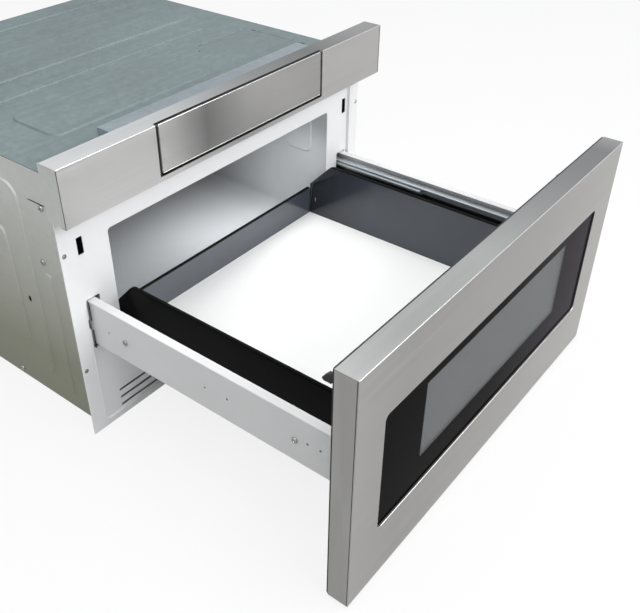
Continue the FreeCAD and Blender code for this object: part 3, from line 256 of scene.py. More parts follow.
def brushed_stainless(name, dark, light, roughness, bands=None):
    """Long hairlines that run along X, with slow cloudiness under them; the slow bands across X, where given,
    are painted reflection.
    """
    finish, tree, shader = new_finish(name)
    hairs = grain(tree, stretched_coordinates(tree, (16, 2600, 2600)), 1.0, 3.0, 0.65)
    streaks = grain(tree, stretched_coordinates(tree, (3, 420, 420)), 1.0, 2.0, 0.5)
    clouds = grain(tree, stretched_coordinates(tree), 3.2, 2.0, 0.5)
    lines = weighted(tree, (hairs, 0.62), (streaks, 0.38))
    tone = weighted(tree, (lines, 0.8), (clouds, 0.2))
    colour = graded(tree, tone, [(0.3, dark), (0.7, light)])
    # Painted reflection: slow grey levels across X.
    if bands:
        colour = multiplied(tree, colour, levels_across(tree, bands))
    surfaced(tree, shader, colour, rescaled(tree, lines, roughness - 0.04, roughness + 0.05, 0.3, 0.7))
    raised(tree, shader, hairs, 0.06, 0.00003)
    across_the_grain = tree.nodes.new("ShaderNodeTangent")
    across_the_grain.direction_type = "RADIAL"
    across_the_grain.axis = "X"
    tree.links.new(across_the_grain.outputs["Tangent"], shader.inputs["Tangent"])
    shader.inputs["Anisotropic"].default_value = 0.75
    shader.inputs["Metallic"].default_value = 1.0
    return finish


def spangled_zinc(name, dark, light, flake, roughness, metal=1.0, foot=None, rolled=(900, 40, 900)):
    """Hot-dip zinc: faint crystals, matt bloom and fine rolling lines; a foot colour, where given, is painted
    shade that darkens the sheet towards the foot.
    """
    finish, tree, shader = new_finish(name)
    place = stretched_coordinates(tree)
    crystals = tree.nodes.new("ShaderNodeTexVoronoi")
    crystals.inputs["Scale"].default_value = 1.0 / flake
    crystals.inputs["Randomness"].default_value = 1.0
    tree.links.new(place, crystals.inputs["Vector"])
    facet = split_axes(tree, crystals.outputs["Color"])[0]
    bloom = grain(tree, place, 7.0, 4.0, 0.6)
    rolling = grain(tree, stretched_coordinates(tree, rolled), 1.0, 2.0, 0.5)
    tone = weighted(tree, (facet, 0.16), (bloom, 0.5), (rolling, 0.34))
    colour = graded(tree, tone, [(0.25, dark), (0.75, light)])
    # Painted shade: the colour is multiplied down towards the foot, standing in for the darker reflection of
    # the floor there.
    if foot:
        colour = shaded(tree, colour, falling(tree, split_axes(tree, place)[2], 0.08, 0.34), foot)
    surfaced(tree, shader, colour, rescaled(tree, tone, roughness - 0.06, roughness + 0.1, 0.25, 0.75))
    raised(tree, shader, bloom, 0.06, 0.0004)
    shader.inputs["Metallic"].default_value = metal
    return finish


def baked_enamel(name, dark, light, roughness, peel, specks=0.0):
    """Powder or enamel over sheet: an even colour with slow tone shifts, orange peel and light specks."""
    finish, tree, shader = new_finish(name)
    place = stretched_coordinates(tree)
    clouds = grain(tree, place, 5.0, 3.0, 0.5)
    colour = graded(tree, clouds, [(0.35, dark), (0.65, light)])
    if specks:
        spots = rising(tree, grain(tree, place, 1900.0, 0.0, 0.5), 0.7, 0.74)
        colour = blended(tree, spots, colour, tuple(part + specks for part in light))
    surfaced(tree, shader, colour, rescaled(tree, clouds, roughness - 0.03, roughness + 0.05, 0.3, 0.7))
    orange_peel(tree, shader, place, peel)
    return finish


def cavity_enamel(name, drop):
    """Light grey enamel with dark specks, and painted shade that darkens it towards the rear and the right
    wall of the cavity.
    """
    finish, tree, shader = new_finish(name)
    place = stretched_coordinates(tree)
    across, along, _ = split_axes(tree, place)
    clouds = grain(tree, place, 5.0, 3.0, 0.5)
    dark = tuple(part - drop for part in (0.76, 0.785, 0.805))
    light = tuple(part - drop for part in (0.79, 0.815, 0.835))
    clean = graded(tree, clouds, [(0.35, dark), (0.65, light)])
    # Painted shade: darker towards the rear and the right wall.
    shaded_enamel = shaded(tree, clean, rising(tree, along, *shade_depth), (0.44, 0.44, 0.448))
    shaded_enamel = shaded(tree, shaded_enamel, rising(tree, across, *shade_side), (0.8, 0.8, 0.8))
    specks = rescaled(tree, grain(tree, place, 1500.0, 0.0, 0.5), 0.0, 0.5, 0.7, 0.75)
    colour = blended(tree, specks, shaded_enamel, (0.3, 0.3, 0.31))
    surfaced(tree, shader, colour, rescaled(tree, clouds, 0.33, 0.4, 0.3, 0.7))
    orange_peel(tree, shader, place, 0.08)
    return finish


def tray_enamel(name, level, bend, rim, darker_rear):
    """Black enamel, glossy towards the food, with a faint blue cast and a level that are painted reflection;
    the rim and the outside of the walls are a matt near-black, as painted shade.
    """
    finish, tree, shader = new_finish(name)
    place = stretched_coordinates(tree)
    clouds = grain(tree, place, 6.0, 3.0, 0.5)
    across, along, up = split_axes(tree, place)
    # Painted reflection: a faint blue, raised by level, for the room the glossy walls mirror.
    colour = graded(tree, clouds, [(0.35, (0.8 * level, 0.97 * level, 1.26 * level)),
                                   (0.65, (0.98 * level, 1.16 * level, 1.52 * level))])
    # Painted shade: darker towards the rear, where the cavity shades the walls.
    if darker_rear:
        colour = multiplied(tree, colour, rescaled(tree, along, 1.0, 0.3, -0.36, -0.27))
    surfaced(tree, shader, colour, rescaled(tree, clouds, 0.12, 0.19, 0.3, 0.7))
    shader.inputs["IOR"].default_value = bend
    orange_peel(tree, shader, place, 0.04)

    # Painted shade: a matt near-black with weak reflection for the rim and the outside of the walls.
    matt = tree.nodes.new("ShaderNodeBsdfPrincipled")
    outside_shade_colour = graded(tree, clouds, [(0.35, (0.004, 0.004, 0.0042)), (0.65, (0.007, 0.007, 0.0072))])
    tree.links.new(outside_shade_colour, matt.inputs["Base Color"])
    matt.inputs["Roughness"].default_value = 0.32
    matt.inputs["IOR"].default_value = 1.12

    lean = times(tree, minus(tree, tray_wall_top, up), tray_wall_lean)
    beyond_wall = rising(tree, plus(tree, unsigned(tree, across), lean), *tray_wall_outside)
    beyond_rear = rising(tree, along, *tray_rear_outside)
    on_rim = rising(tree, up, rim, rim + 0.0008)
    outside = larger(tree, larger(tree, beyond_wall, beyond_rear), on_rim)
    sides = tree.nodes.new("ShaderNodeMixShader")
    tree.links.new(outside, sides.inputs["Fac"])
    tree.links.new(shader.outputs["BSDF"], sides.inputs[1])
    tree.links.new(matt.outputs["BSDF"], sides.inputs[2])
    tree.links.new(sides.outputs["Shader"], tree.nodes["Material Output"].inputs["Surface"])
    return finish


def cut_metal(name, dark, light, roughness, scale=260.0, drawn=(1, 1, 6), metal=1.0):
    """Turned, stamped or plated small metal with fine tool marks, which can run along one axis."""
    finish, tree, shader = new_finish(name)
    marks = grain(tree, stretched_coordinates(tree, drawn), scale, 3.0, 0.6)
    wear = grain(tree, stretched_coordinates(tree), 35.0, 3.0, 0.6)
    tone = weighted(tree, (marks, 0.45), (wear, 0.55))
    surfaced(tree, shader, graded(tree, tone, [(0.3, dark), (0.7, light)]),
             rescaled(tree, tone, roughness - 0.08, roughness + 0.1, 0.3, 0.7))
    raised(tree, shader, marks, 0.08, 0.00004)
    shader.inputs["Metallic"].default_value = metal
    return finish


def moulded_plastic(name, dark, light, roughness):
    finish, tree, shader = new_finish(name)
    place = stretched_coordinates(tree)
    spark = grain(tree, place, 900.0, 2.0, 0.5)
    flow = grain(tree, place, 18.0, 2.0, 0.5)
    surfaced(tree, shader, graded(tree, flow, [(0.35, dark), (0.65, light)]),
             rescaled(tree, spark, roughness - 0.06, roughness + 0.08, 0.3, 0.7))
    raised(tree, shader, spark, 0.2, 0.00008)
    return finish


def laminated_core(name):
    """Stacked iron sheets seen on edge."""
    finish, tree, shader = new_finish(name)
    sheets = tree.nodes.new("ShaderNodeTexWave")
    sheets.bands_direction = "X"
    sheets.inputs["Scale"].default_value = 320.0
    sheets.inputs["Distortion"].default_value = 0.4
    tree.links.new(stretched_coordinates(tree), sheets.inputs["Vector"])
    colour = graded(tree, sheets.outputs["Fac"], [(0.1, (0.06, 0.065, 0.08)), (0.9, (0.2, 0.21, 0.24))])
    tree.links.new(colour, shader.inputs["Base Color"])
    raised(tree, shader, sheets.outputs["Fac"], 0.5, 0.0002)
    shader.inputs["Metallic"].default_value = 0.7
    shader.inputs["Roughness"].default_value = 0.5
    return finish


def wound_copper(name):
    """Lacquered turns of wire lying side by side."""
    finish, tree, shader = new_finish(name)
    turns = tree.nodes.new("ShaderNodeTexWave")
    turns.bands_direction = "Z"
    turns.inputs["Scale"].default_value = 150.0
    turns.inputs["Distortion"].default_value = 0.6
    tree.links.new(stretched_coordinates(tree), turns.inputs["Vector"])
    colour = graded(tree, turns.outputs["Fac"], [(0.05, (0.12, 0.03, 0.01)), (0.8, (0.62, 0.25, 0.1))])
    tree.links.new(colour, shader.inputs["Base Color"])
    raised(tree, shader, turns.outputs["Fac"], 0.8, 0.0005)
    shader.inputs["Metallic"].default_value = 0.8
    shader.inputs["Roughness"].default_value = 0.3
    shader.inputs["Coat Weight"].default_value = 0.5
    return finish


def printed_board(name):
    """Green solder mask over a net of tracks."""
    finish, tree, shader = new_finish(name)
    tracks = tree.nodes.new("ShaderNodeTexBrick")
    tracks.inputs["Scale"].default_value = 130.0
    tracks.inputs["Mortar Size"].default_value = 0.03
    tracks.inputs["Color1"].default_value = (0.012, 0.09, 0.035, 1)
    tracks.inputs["Color2"].default_value = (0.016, 0.12, 0.045, 1)
    tracks.inputs["Mortar"].default_value = (0.05, 0.28, 0.11, 1)
    tree.links.new(stretched_coordinates(tree), tracks.inputs["Vector"])
    tree.links.new(tracks.outputs["Color"], shader.inputs["Base Color"])
    raised(tree, shader, tracks.outputs["Fac"], 0.3, 0.0001)
    shader.inputs["Roughness"].default_value = 0.32
    shader.inputs["Coat Weight"].default_value = 0.4
    return finish


def rounded_field(tree, vector, half_width, low, high, corner, soft):
    """1 inside a rounded rectangle in X and Z, falling to 0 over the width of its soft edge."""
    across, _, up = split_axes(tree, vector)
    sideways = minus(tree, unsigned(tree, across), half_width - corner)
    upwards = minus(tree, unsigned(tree, minus(tree, up, (low + high) / 2)), (high - low) / 2 - corner)
    past = distance(tree, larger(tree, sideways, 0.0), larger(tree, upwards, 0.0))
    return falling(tree, past, corner - soft, corner)


def tinted_door_glass(name):
    """Smoked glass: black print round the edge, lightened towards the right by painted reflection, and clear
    enough in the middle to show the screen behind.
    """
    finish, tree, shader = new_finish(name)
    place = stretched_coordinates(tree)
    field = rounded_field(tree, place, **screen_field)
    # Painted reflection: the black print lightens towards the right.
    towards_right = rising(tree, split_axes(tree, place)[0], 0.0, 0.25)
    print_and_reflection = blended(tree, towards_right, (0.0025, 0.0024, 0.0026), (0.03, 0.026, 0.032))
    colour = blended(tree, field, print_and_reflection, (0.57, 0.58, 0.59))
    surfaced(tree, shader, colour, rescaled(tree, grain(tree, place, 9.0, 3.0, 0.5), 0.02, 0.06, 0.3, 0.7))
    tree.links.new(times(tree, field, 0.85), shader.inputs["Transmission Weight"])
    shader.inputs["IOR"].default_value = 1.07
    return finish


def perforated_enamel(name):
    """Black enamel with the screen's rows of small holes in its middle field; the holes are painted grey, as
    painted light from the lit inside seen through them.
    """
    finish, tree, shader = new_finish(name)
    place = stretched_coordinates(tree)
    across, _, up = split_axes(tree, place)
    pitch = 0.0024
    row_pitch = pitch * 0.866
    rows = worked_out(tree, "DIVIDE", up, row_pitch)
    shift = times(tree, worked_out(tree, "MODULO", worked_out(tree, "FLOOR", rows), 2.0), 0.5)
    columns = plus(tree, worked_out(tree, "DIVIDE", across, pitch), shift)
    sideways = minus(tree, worked_out(tree, "FRACT", columns), 0.5)
    upwards = minus(tree, worked_out(tree, "FRACT", rows), 0.5)
    hole = falling(tree, distance(tree, sideways, upwards), 0.3, 0.36)
    share = times(tree, hole, rounded_field(tree, place, **screen_field))
    # Painted light: the holes are light grey for the lit inside behind them.
    colour = blended(tree, share, (0.035, 0.035, 0.036), (0.235, 0.238, 0.242))
    surfaced(tree, shader, colour, rescaled(tree, share, 0.3, 0.7))
    raised(tree, shader, minus(tree, 1.0, share), 0.4, 0.0004)
    return finish


def clear_lamp_glass(name):
    finish, tree, shader = new_finish(name)
    bubbles = grain(tree, stretched_coordinates(tree), 60.0, 2.0, 0.5)
    colour = graded(tree, bubbles, [(0.3, (0.9, 0.92, 0.92)), (0.7, (0.98, 0.98, 0.97))])
    surfaced(tree, shader, colour, rescaled(tree, bubbles, 0.02, 0.08))
    shader.inputs["Transmission Weight"].default_value = 0.9
    shader.inputs["IOR"].default_value = 1.5
    return finish


def touch_pad_glass(name):
    """Black control glass with faint wiping marks."""
    finish, tree, shader = new_finish(name)
    wipes = grain(tree, stretched_coordinates(tree, (10, 45, 10)), 1.0, 3.0, 0.6)
    colour = graded(tree, wipes, [(0.3, (0.006, 0.006, 0.007)), (0.7, (0.011, 0.011, 0.012))])
    surfaced(tree, shader, colour, rescaled(tree, wipes, 0.05, 0.14, 0.3, 0.7))
    return finish


# Tints that lie on one area of a piece: painted reflection, light and shade. Each area is a share, 1 inside
# it, worked out from X, Y and Z.


def tint_where(finish, share, colour):
    """Mixes a colour into a finish by share."""
    tree = finish.node_tree
    base = tree.nodes["Principled BSDF"].inputs["Base Color"]
    plain = base.links[0].from_socket
    mask = share(tree, *split_axes(tree, stretched_coordinates(tree)))
    tree.links.new(blended(tree, mask, plain, colour), base)
    return finish


def on_top_fold(top, stops):
    """Painted reflection on the fold on top of a front: the dark side of a room, as shares by stops across X.
    """
    def share(tree, across, along, up):
        on_top = rising(tree, up, top - 0.00035, top - 0.0002)
        return times(tree, levels_across(tree, stops), on_top)
    return share


def on_painted_gap_shade(tree, across, along, up):
    """Painted shade: a black strip on that fold along the opening for the control panel, for the shadowed gap
    behind the panel.
    """
    beside = worked_out(tree, "LESS_THAN", unsigned(tree, across), panel_high.x + 0.003)
    near = worked_out(tree, "LESS_THAN", along, fascia_low.y + 0.0062)
    on_top = rising(tree, up, fascia_high.z - 0.0008, fascia_high.z - 0.0006)
    return times(tree, times(tree, beside, near), on_top)


def on_painted_hole_shade(tree, across, along, up):
    """Painted shade: a dark ring round each of the four mounting holes in the flange, for the shadow inside
    the holes.
    """
    sideways = minus(tree, unsigned(tree, across), mount_x)
    gaps = [unsigned(tree, minus(tree, up, height)) for height in mount_heights]
    upwards = worked_out(tree, "MINIMUM", *gaps)
    apart = distance(tree, sideways, upwards)
    return falling(tree, apart, mount_radius + 0.0004, mount_radius + 0.0007)


def painted_light_up_high(tree, across, along, up):
    """Painted light: the upper half of the white frame, made lighter than its lower half."""
    return rising(tree, up, 0.16, 0.28)


def in_painted_groove_shade(tree, across, along, up):
    """Painted shade and reflection: the lower side of a slide's groove, near black for the shade there and
    the black tray it mirrors.
    """
    return falling(tree, up, slide_centre + 0.005, slide_centre + 0.008)


# The finish of each material slot, and then of the pieces that have one of their own.

along_slide = (700, 9, 700)
FINISHES = {
    # Painted shade on the galvanised side sheets: darker and olive towards the foot.
    "galvanised": spangled_zinc("galvanised_sheet", (0.7, 0.712, 0.69), (0.8, 0.812, 0.79),
                                flake=0.008, roughness=0.42, metal=0.6, foot=(0.46, 0.465, 0.38)),
    "stainless": brushed_stainless("brushed_stainless", (0.6, 0.593, 0.585), (0.68, 0.673, 0.665),
                                   roughness=0.36),
    "white_enamel": baked_enamel("white_powder_coat", (0.84, 0.845, 0.855), (0.865, 0.87, 0.88),
                                 roughness=0.4, peel=0.12),
    "cavity_enamel": cavity_enamel("grey_cavity_enamel", drop=0.0),
    "zinc": cut_metal("zinc_plated_steel", (0.66, 0.69, 0.71), (0.8, 0.83, 0.85),
                      roughness=0.3, scale=1.0, drawn=along_slide),
    "screw_steel": cut_metal("screw_steel", (0.42, 0.42, 0.41), (0.62, 0.62, 0.6),
                             roughness=0.18, scale=500.0),
    "cage_steel": cut_metal("pressed_cage_steel", (0.24, 0.25, 0.26), (0.42, 0.43, 0.44), roughness=0.34),
    "tube_metal": cut_metal("nickelled_tube_metal", (0.42, 0.4, 0.37), (0.6, 0.58, 0.54), roughness=0.34),
    "core_steel": laminated_core("laminated_core"),
    "winding_copper": wound_copper("wound_copper"),
    "stirrer_metal": cut_metal("aluminium_antenna", (0.55, 0.56, 0.57), (0.74, 0.75, 0.76), roughness=0.32),
    "black_enamel": baked_enamel("black_tray_enamel", (0.005, 0.005, 0.006), (0.008, 0.008, 0.0095),
                                 roughness=0.13, peel=0.05, specks=0.01),
    "black_plastic": moulded_plastic("black_moulded_plastic", (0.01, 0.01, 0.011), (0.018, 0.018, 0.019),
                                     roughness=0.42),
    "gear_plastic": moulded_plastic("white_gear_plastic", (0.62, 0.61, 0.56), (0.7, 0.69, 0.64),
                                    roughness=0.4),
    "duct_plastic": moulded_plastic("grey_duct_plastic", (0.13, 0.13, 0.135), (0.18, 0.18, 0.185),
                                    roughness=0.5),
    "board_green": printed_board("printed_board"),
    "white_ceramic": baked_enamel("white_ceramic_base", (0.915, 0.915, 0.91), (0.92, 0.92, 0.915),
                                  roughness=0.34, peel=0.03),
    "dark_glass": tinted_door_glass("tinted_door_glass"),
    "lamp_glass": clear_lamp_glass("clear_lamp_glass"),
}
slot_of = {row["node"]: row["material_slot"] for row in frame["record"]["subparts"]}


def coat(piece, finish):
    """Gives a piece one finish all over."""
    piece.data.materials.clear()
    piece.data.materials.append(finish)


for name, piece in nodes.items():
    coat(piece, FINISHES[slot_of[name]])
# Painted reflection: level gives each wall its own lit or shaded copy of the black enamel, lightest on the
# rear wall and darkest on the left.
for name, level, bend, rim, darker_rear in (("tray_side_left", 0.02, 1.5, 0.2012, True),
                                            ("tray_side_right", 0.046, 1.62, 0.2012, True),
                                            ("tray_rear", 0.058, 1.8, 0.1582, False)):
    coat(nodes[name], tray_enamel("tray_enamel_" + name, level, bend, rim, darker_rear))
# Painted shade: the rails get a grey copy of the white enamel, as their shaded sides look.
for name in ("rail_left", "rail_right"):
    coat(nodes[name], baked_enamel("rail_enamel_" + name, (0.65, 0.652, 0.655), (0.7, 0.702, 0.705),
                                   roughness=0.42, peel=0.1))
# Painted reflection: the top of the zinc wrap gets a dark blue-green copy of the sheet, for the room it
# mirrors.
coat(nodes["top_cover"], spangled_zinc("top_cover_sheet", (0.125, 0.152, 0.156), (0.19, 0.24, 0.242),
                                       flake=0.007, roughness=0.58, metal=0.2, rolled=(3, 110, 110)))
# Painted shade and reflection: each slide is tinted near black below a height just above its middle.
for name in ("slide_drawer_members", "slide_middle_left", "slide_middle_right", "slide_cabinet_members"):
    slide_finish = cut_metal("slide_zinc_" + name, (0.84, 0.91, 0.96), (0.9, 0.96, 1.0),
                             roughness=0.36, scale=1.0, drawn=along_slide, metal=0.3)
    coat(nodes[name], tint_where(slide_finish, in_painted_groove_shade, (0.02, 0.021, 0.024)))

# Painted reflection on the fascia: a lighter copy of the stainless with slow bands across X, and a top fold
# darkened towards the right. A black strip along the panel opening is painted shade.
fascia_finish = brushed_stainless("fascia_stainless", (0.69, 0.683, 0.68), (0.77, 0.762, 0.757), 0.38,
                                  [(0.0, 1.0), (0.25, 1.0), (0.45, 0.86), (0.75, 0.9), (1.0, 0.98)])
fascia_fold = on_top_fold(fascia_high.z, ((0.3, 0.0), (0.56, 0.55), (0.74, 0.8), (0.92, 0.45)))
tint_where(fascia_finish, fascia_fold, (0.2, 0.195, 0.19))
tint_where(fascia_finish, on_painted_gap_shade, (0.01, 0.01, 0.01))
coat(nodes["fascia"], fascia_finish)

# Painted light and shade on the white frame: lighter on its upper half, and a dark ring round each mounting
# hole.
frame_finish = baked_enamel("white_frame_coat", (0.84, 0.845, 0.855), (0.865, 0.87, 0.88),
                            roughness=0.4, peel=0.12)
tint_where(frame_finish, painted_light_up_high, (0.94, 0.945, 0.955))
coat(nodes["front_frame"], tint_where(frame_finish, on_painted_hole_shade, (0.015, 0.015, 0.016)))

# Painted reflection: a dark soft band across the control panel, on a lighter copy of the stainless.
panel_bands = [(0.22, 1.0), (0.29, 0.8), (0.375, 0.43), (0.44, 0.62), (0.5, 0.75), (0.78, 0.68)]
coat(nodes["panel_front"], brushed_stainless("panel_stainless", (0.7, 0.693, 0.688), (0.79, 0.782, 0.775),
                                             0.38, panel_bands))
# Painted reflection: the door front is a lighter copy of the stainless, darker at the left and lightest at
# the right, with its top fold darkened towards the right.
door_finish = brushed_stainless("door_stainless", (0.7, 0.692, 0.683), (0.79, 0.781, 0.772), 0.37,
                                [(0.0, 0.78), (0.15, 0.7), (0.6, 0.82), (1.0, 1.0)])
door_fold = on_top_fold(door_high.z, ((0.4, 0.0), (0.62, 0.45), (0.8, 0.72), (0.93, 0.8), (1.0, 0.5)))
coat(nodes["door_skin"], tint_where(door_finish, door_fold, (0.2, 0.195, 0.2)))
coat(nodes["touch_glass"], touch_pad_glass("touch_pad_glass"))
coat(nodes["door_frame"], perforated_enamel("perforated_enamel"))
coat(nodes["antenna_cover"], cavity_enamel("grey_ceramic_cover", 0.01))
coat(nodes["control_bay"], spangled_zinc("bright_bay_sheet", (0.44, 0.49, 0.52), (0.55, 0.6, 0.63),
                                         flake=0.006, roughness=0.34))


# Small pieces modelled over the CAD.


def active():
    return bpy.context.view_layer.objects.active


def choose_only(piece):
    bpy.ops.object.select_all(action="DESELECT")
    piece.select_set(True)
    bpy.context.view_layer.objects.active = piece


def pick(choose, kind="faces"):
    """Selects the faces, edges or points of the piece in edit mode that choose accepts, and nothing else."""
    bpy.ops.mesh.select_mode(type={"faces": "FACE", "edges": "EDGE", "verts": "VERT"}[kind])
    bpy.ops.mesh.select_all(action="DESELECT")
    mesh = bmesh.from_edit_mesh(active().data)
    for part in getattr(mesh, kind):
        if choose(part):
            part.select_set(True)
    mesh.select_flush_mode()
    bmesh.update_edit_mesh(active().data)


def own_copy(pattern, place):
    """A copy of a modelled piece with a mesh of its own, at a place given as a matrix."""
    piece = pattern.copy()
    piece.data = pattern.data.copy()
    bpy.context.scene.collection.objects.link(piece)
    piece.matrix_world = place
    return piece


def join_up(name, pieces):
    """Joins pieces into one whose object sits at the origin, with its place in its mesh."""
    bpy.ops.object.select_all(action="DESELECT")
    for piece in pieces:
        piece.select_set(True)
    bpy.context.view_layer.objects.active = pieces[0]
    if len(pieces) > 1:
        bpy.ops.object.join()
    joined = active()
    joined.name = name
    bpy.ops.object.transform_apply(location=True, rotation=True, scale=True)
    return joined


def cross_head_screw(radius, height):
    """A pan head standing on the origin along Z, domed on top, with a cross recess and a shoulder."""
    bpy.ops.object.select_all(action="DESELECT")
    bpy.ops.mesh.primitive_cylinder_add(vertices=40, radius=radius, depth=height, location=(0, 0, height / 2))
    head = active()
    bpy.ops.object.transform_apply(location=True)
    bpy.ops.object.mode_set(mode="EDIT")
    pick(lambda face: face.normal.z > 0.9)
    bpy.ops.mesh.bevel(offset=height * 0.55, segments=5, affect="EDGES")
    pick(lambda face: face.normal.z > 0.99 and face.calc_center_median().z > height * 0.99)
    bpy.ops.mesh.inset(thickness=radius * 0.2)
    bpy.ops.transform.translate(value=(0, 0, height * 0.06))
    pick(lambda face: face.normal.z < -0.9)
    bpy.ops.mesh.bevel(offset=height * 0.08, segments=2, affect="EDGES")
    bpy.ops.object.mode_set(mode="OBJECT")
    for length, width in ((radius * 1.15, radius * 0.24), (radius * 0.24, radius * 1.15)):
        bpy.ops.object.select_all(action="DESELECT")
        bpy.ops.mesh.primitive_cube_add(size=1, location=(0, 0, height))
        bit = active()
        bit.scale = (length, width, height)
        bpy.ops.object.transform_apply(scale=True)
        bpy.ops.object.mode_set(mode="EDIT")
        pick(lambda face: face.normal.z < -0.9)
        bpy.ops.transform.resize(value=(0.6, 0.6, 1))
        bpy.ops.object.mode_set(mode="OBJECT")
        choose_only(head)
        recess = head.modifiers.new("recess", "BOOLEAN")
        recess.object = bit
        recess.operation = "DIFFERENCE"
        recess.solver = "EXACT"
        bpy.ops.object.modifier_apply(modifier="recess")
        bpy.data.objects.remove(bit)
    bpy.ops.object.shade_smooth_by_angle(angle=math.radians(35))
    return head


def row_of_screws(name, radius, height, outer, places, node, body):
    """Copies of one head on both outer sides, each turned a little differently, as screws end up."""
    pattern = cross_head_screw(radius, height)
    heads = []
    for count, (along, up) in enumerate(places):
        for side in (-1, 1):
            spin = Matrix.Rotation(0.7 * count + 0.3 * side, 4, "Z")
            lying = Matrix.Rotation(side * math.pi / 2, 4, "Y")
            heads.append(own_copy(pattern, Matrix.Translation((side * outer, along, up)) @ lying @ spin))
    bpy.data.objects.remove(pattern)
    screws = join_up(name, heads)
    coat(screws, FINISHES["screw_steel"])
    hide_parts(node)
    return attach(screws, body)


def rolled_edge(name, half, low, high, corner, level, thickness, body, finish, open_top=False):
    """The rounded edge of a pressed opening or lip: a bead round a rectangle, or round three sides of it."""
    bpy.ops.object.select_all(action="DESELECT")
    bpy.ops.mesh.primitive_plane_add(size=1, location=(0, 0, 0))
    loop = active()
    loop.scale = (2 * half, high - low, 1)
    bpy.ops.object.transform_apply(scale=True)
    bpy.ops.object.mode_set(mode="EDIT")
    pick(lambda point: point.co.y < 0 or not open_top, "verts")
    bpy.ops.mesh.bevel(offset=corner, segments=8, affect="VERTICES")
    bpy.ops.mesh.select_all(action="SELECT")
    bpy.ops.mesh.delete(type="ONLY_FACE")
    if open_top:
        pick(lambda edge: min(point.co.y for point in edge.verts) > (high - low) * 0.49, "edges")
        bpy.ops.mesh.delete(type="EDGE")
    bpy.ops.object.mode_set(mode="OBJECT")
    bpy.ops.object.convert(target="CURVE")
    loop.data.bevel_depth = thickness
    loop.data.bevel_resolution = 3
    bpy.ops.object.convert(target="MESH")
    bead = active()
    upright = Matrix.Rotation(math.pi / 2, 4, "X")
    bead.matrix_world = Matrix.Translation((0, level, (low + high) / 2)) @ upright
    bead = join_up(name, [bead])
    bpy.ops.object.mode_set(mode="EDIT")
    bpy.ops.mesh.select_all(action="SELECT")
    bpy.ops.mesh.remove_doubles(threshold=0.000005)
    bpy.ops.mesh.normals_make_consistent(inside=False)
    bpy.ops.object.mode_set(mode="OBJECT")
    bpy.ops.object.shade_smooth()
    coat(bead, finish)
    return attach(bead, body)


def beads_for_shade_and_folds(name, runs, radius, body, finish=FINISHES["black_plastic"]):
    """Beads along seams or folds: thin rods with dimpled ends; the black ones are painted shade set in seams
    and gaps. A run is its axis, middle and length.
    """
    beads = []
    for axis, middle, length in runs:
        bpy.ops.object.select_all(action="DESELECT")
        bpy.ops.mesh.primitive_cylinder_add(vertices=14, radius=radius, depth=length)
        bead = active()
        bpy.ops.object.mode_set(mode="EDIT")
        pick(lambda face: abs(face.normal.z) > 0.9)
        bpy.ops.mesh.inset(thickness=radius * 0.35)
        bpy.ops.transform.resize(value=(1, 1, 1 - radius * 0.8 / length))
        bpy.ops.object.mode_set(mode="OBJECT")
        turn = Matrix.Rotation(math.pi / 2, 4, "Y") if axis == "x" else Matrix.Identity(4)
        bead.matrix_world = Matrix.Translation(middle) @ turn
        beads.append(bead)
    seam = join_up(name, beads)
    bpy.ops.object.shade_smooth_by_angle(angle=math.radians(40))
    coat(seam, finish)
    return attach(seam, body)


def upright_pair(across, along, up, length):
    """Two upright runs, one on each side."""
    return [("z", (side * across, along, up), length) for side in (-1, 1)]


def cover_seal():
    """The grey silicone that closes the gap round the antenna cover, wiped nearly flush with the floor."""
    bpy.ops.object.select_all(action="DESELECT")
    bpy.ops.mesh.primitive_torus_add(major_radius=0.10425, minor_radius=0.0007, major_segments=96,
                                     minor_segments=12, location=(0, antenna_y, 0.0898))
    ring = active()
    bpy.ops.object.mode_set(mode="EDIT")
    pick(lambda point: point.co.z > 0.0003, "verts")
    bpy.ops.transform.resize(value=(1, 1, 0.2))
    bpy.ops.transform.translate(value=(0, 0, -0.0002))
    bpy.ops.object.mode_set(mode="OBJECT")
    bpy.ops.object.shade_smooth()
    ring = join_up("cover_seal", [ring])
    coat(ring, FINISHES["cavity_enamel"])
    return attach(ring, "cabinet")


def key_pad(width, depth, height):
    """One printed key: a thin plate with rounded corners and a dished middle, standing on the origin."""
    bpy.ops.object.select_all(action="DESELECT")
    bpy.ops.mesh.primitive_cube_add(size=1, location=(0, 0, height / 2))
    pad = active()
    pad.scale = (width, depth, height)
    bpy.ops.object.transform_apply(location=True, scale=True)
    bpy.ops.object.mode_set(mode="EDIT")
    pick(lambda edge: abs(edge.verts[0].co.z - edge.verts[1].co.z) > height * 0.5, "edges")
    bpy.ops.mesh.bevel(offset=depth * 0.18, segments=3, affect="EDGES")
    pick(lambda face: face.normal.z > 0.9)
    bpy.ops.mesh.inset(thickness=depth * 0.07)
    bpy.ops.transform.translate(value=(0, 0, -height * 0.4))
    bpy.ops.object.mode_set(mode="OBJECT")
    return pad


def touch_keys():
    """Three rows of bare keys, copied from one, and a wide display frame on the control glass."""
    film = 0.0002
    resting = touch_glass_top - film / 4
    first_x = -0.038
    first_y = -0.2845
    column_pitch = 0.0205
    row_pitch = 0.012
    pattern = key_pad(0.017, 0.0088, film)
    pads = []
    for column in range(9):
        for row in range(3):
            place = (first_x + column_pitch * column, first_y + row_pitch * row, resting)
            pads.append(own_copy(pattern, Matrix.Translation(place)))
    bpy.data.objects.remove(pattern)
    display = key_pad(0.07, 0.025, film)
    display.matrix_world = Matrix.Translation((-0.094, -0.2725, resting))
    keys = join_up("touch_keys", pads + [display])
    coat(keys, moulded_plastic("printed_key_film", (0.16, 0.165, 0.17), (0.2, 0.205, 0.21), 0.4))
    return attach(keys, "control_panel")


# Screws, as (along, up) on each side.

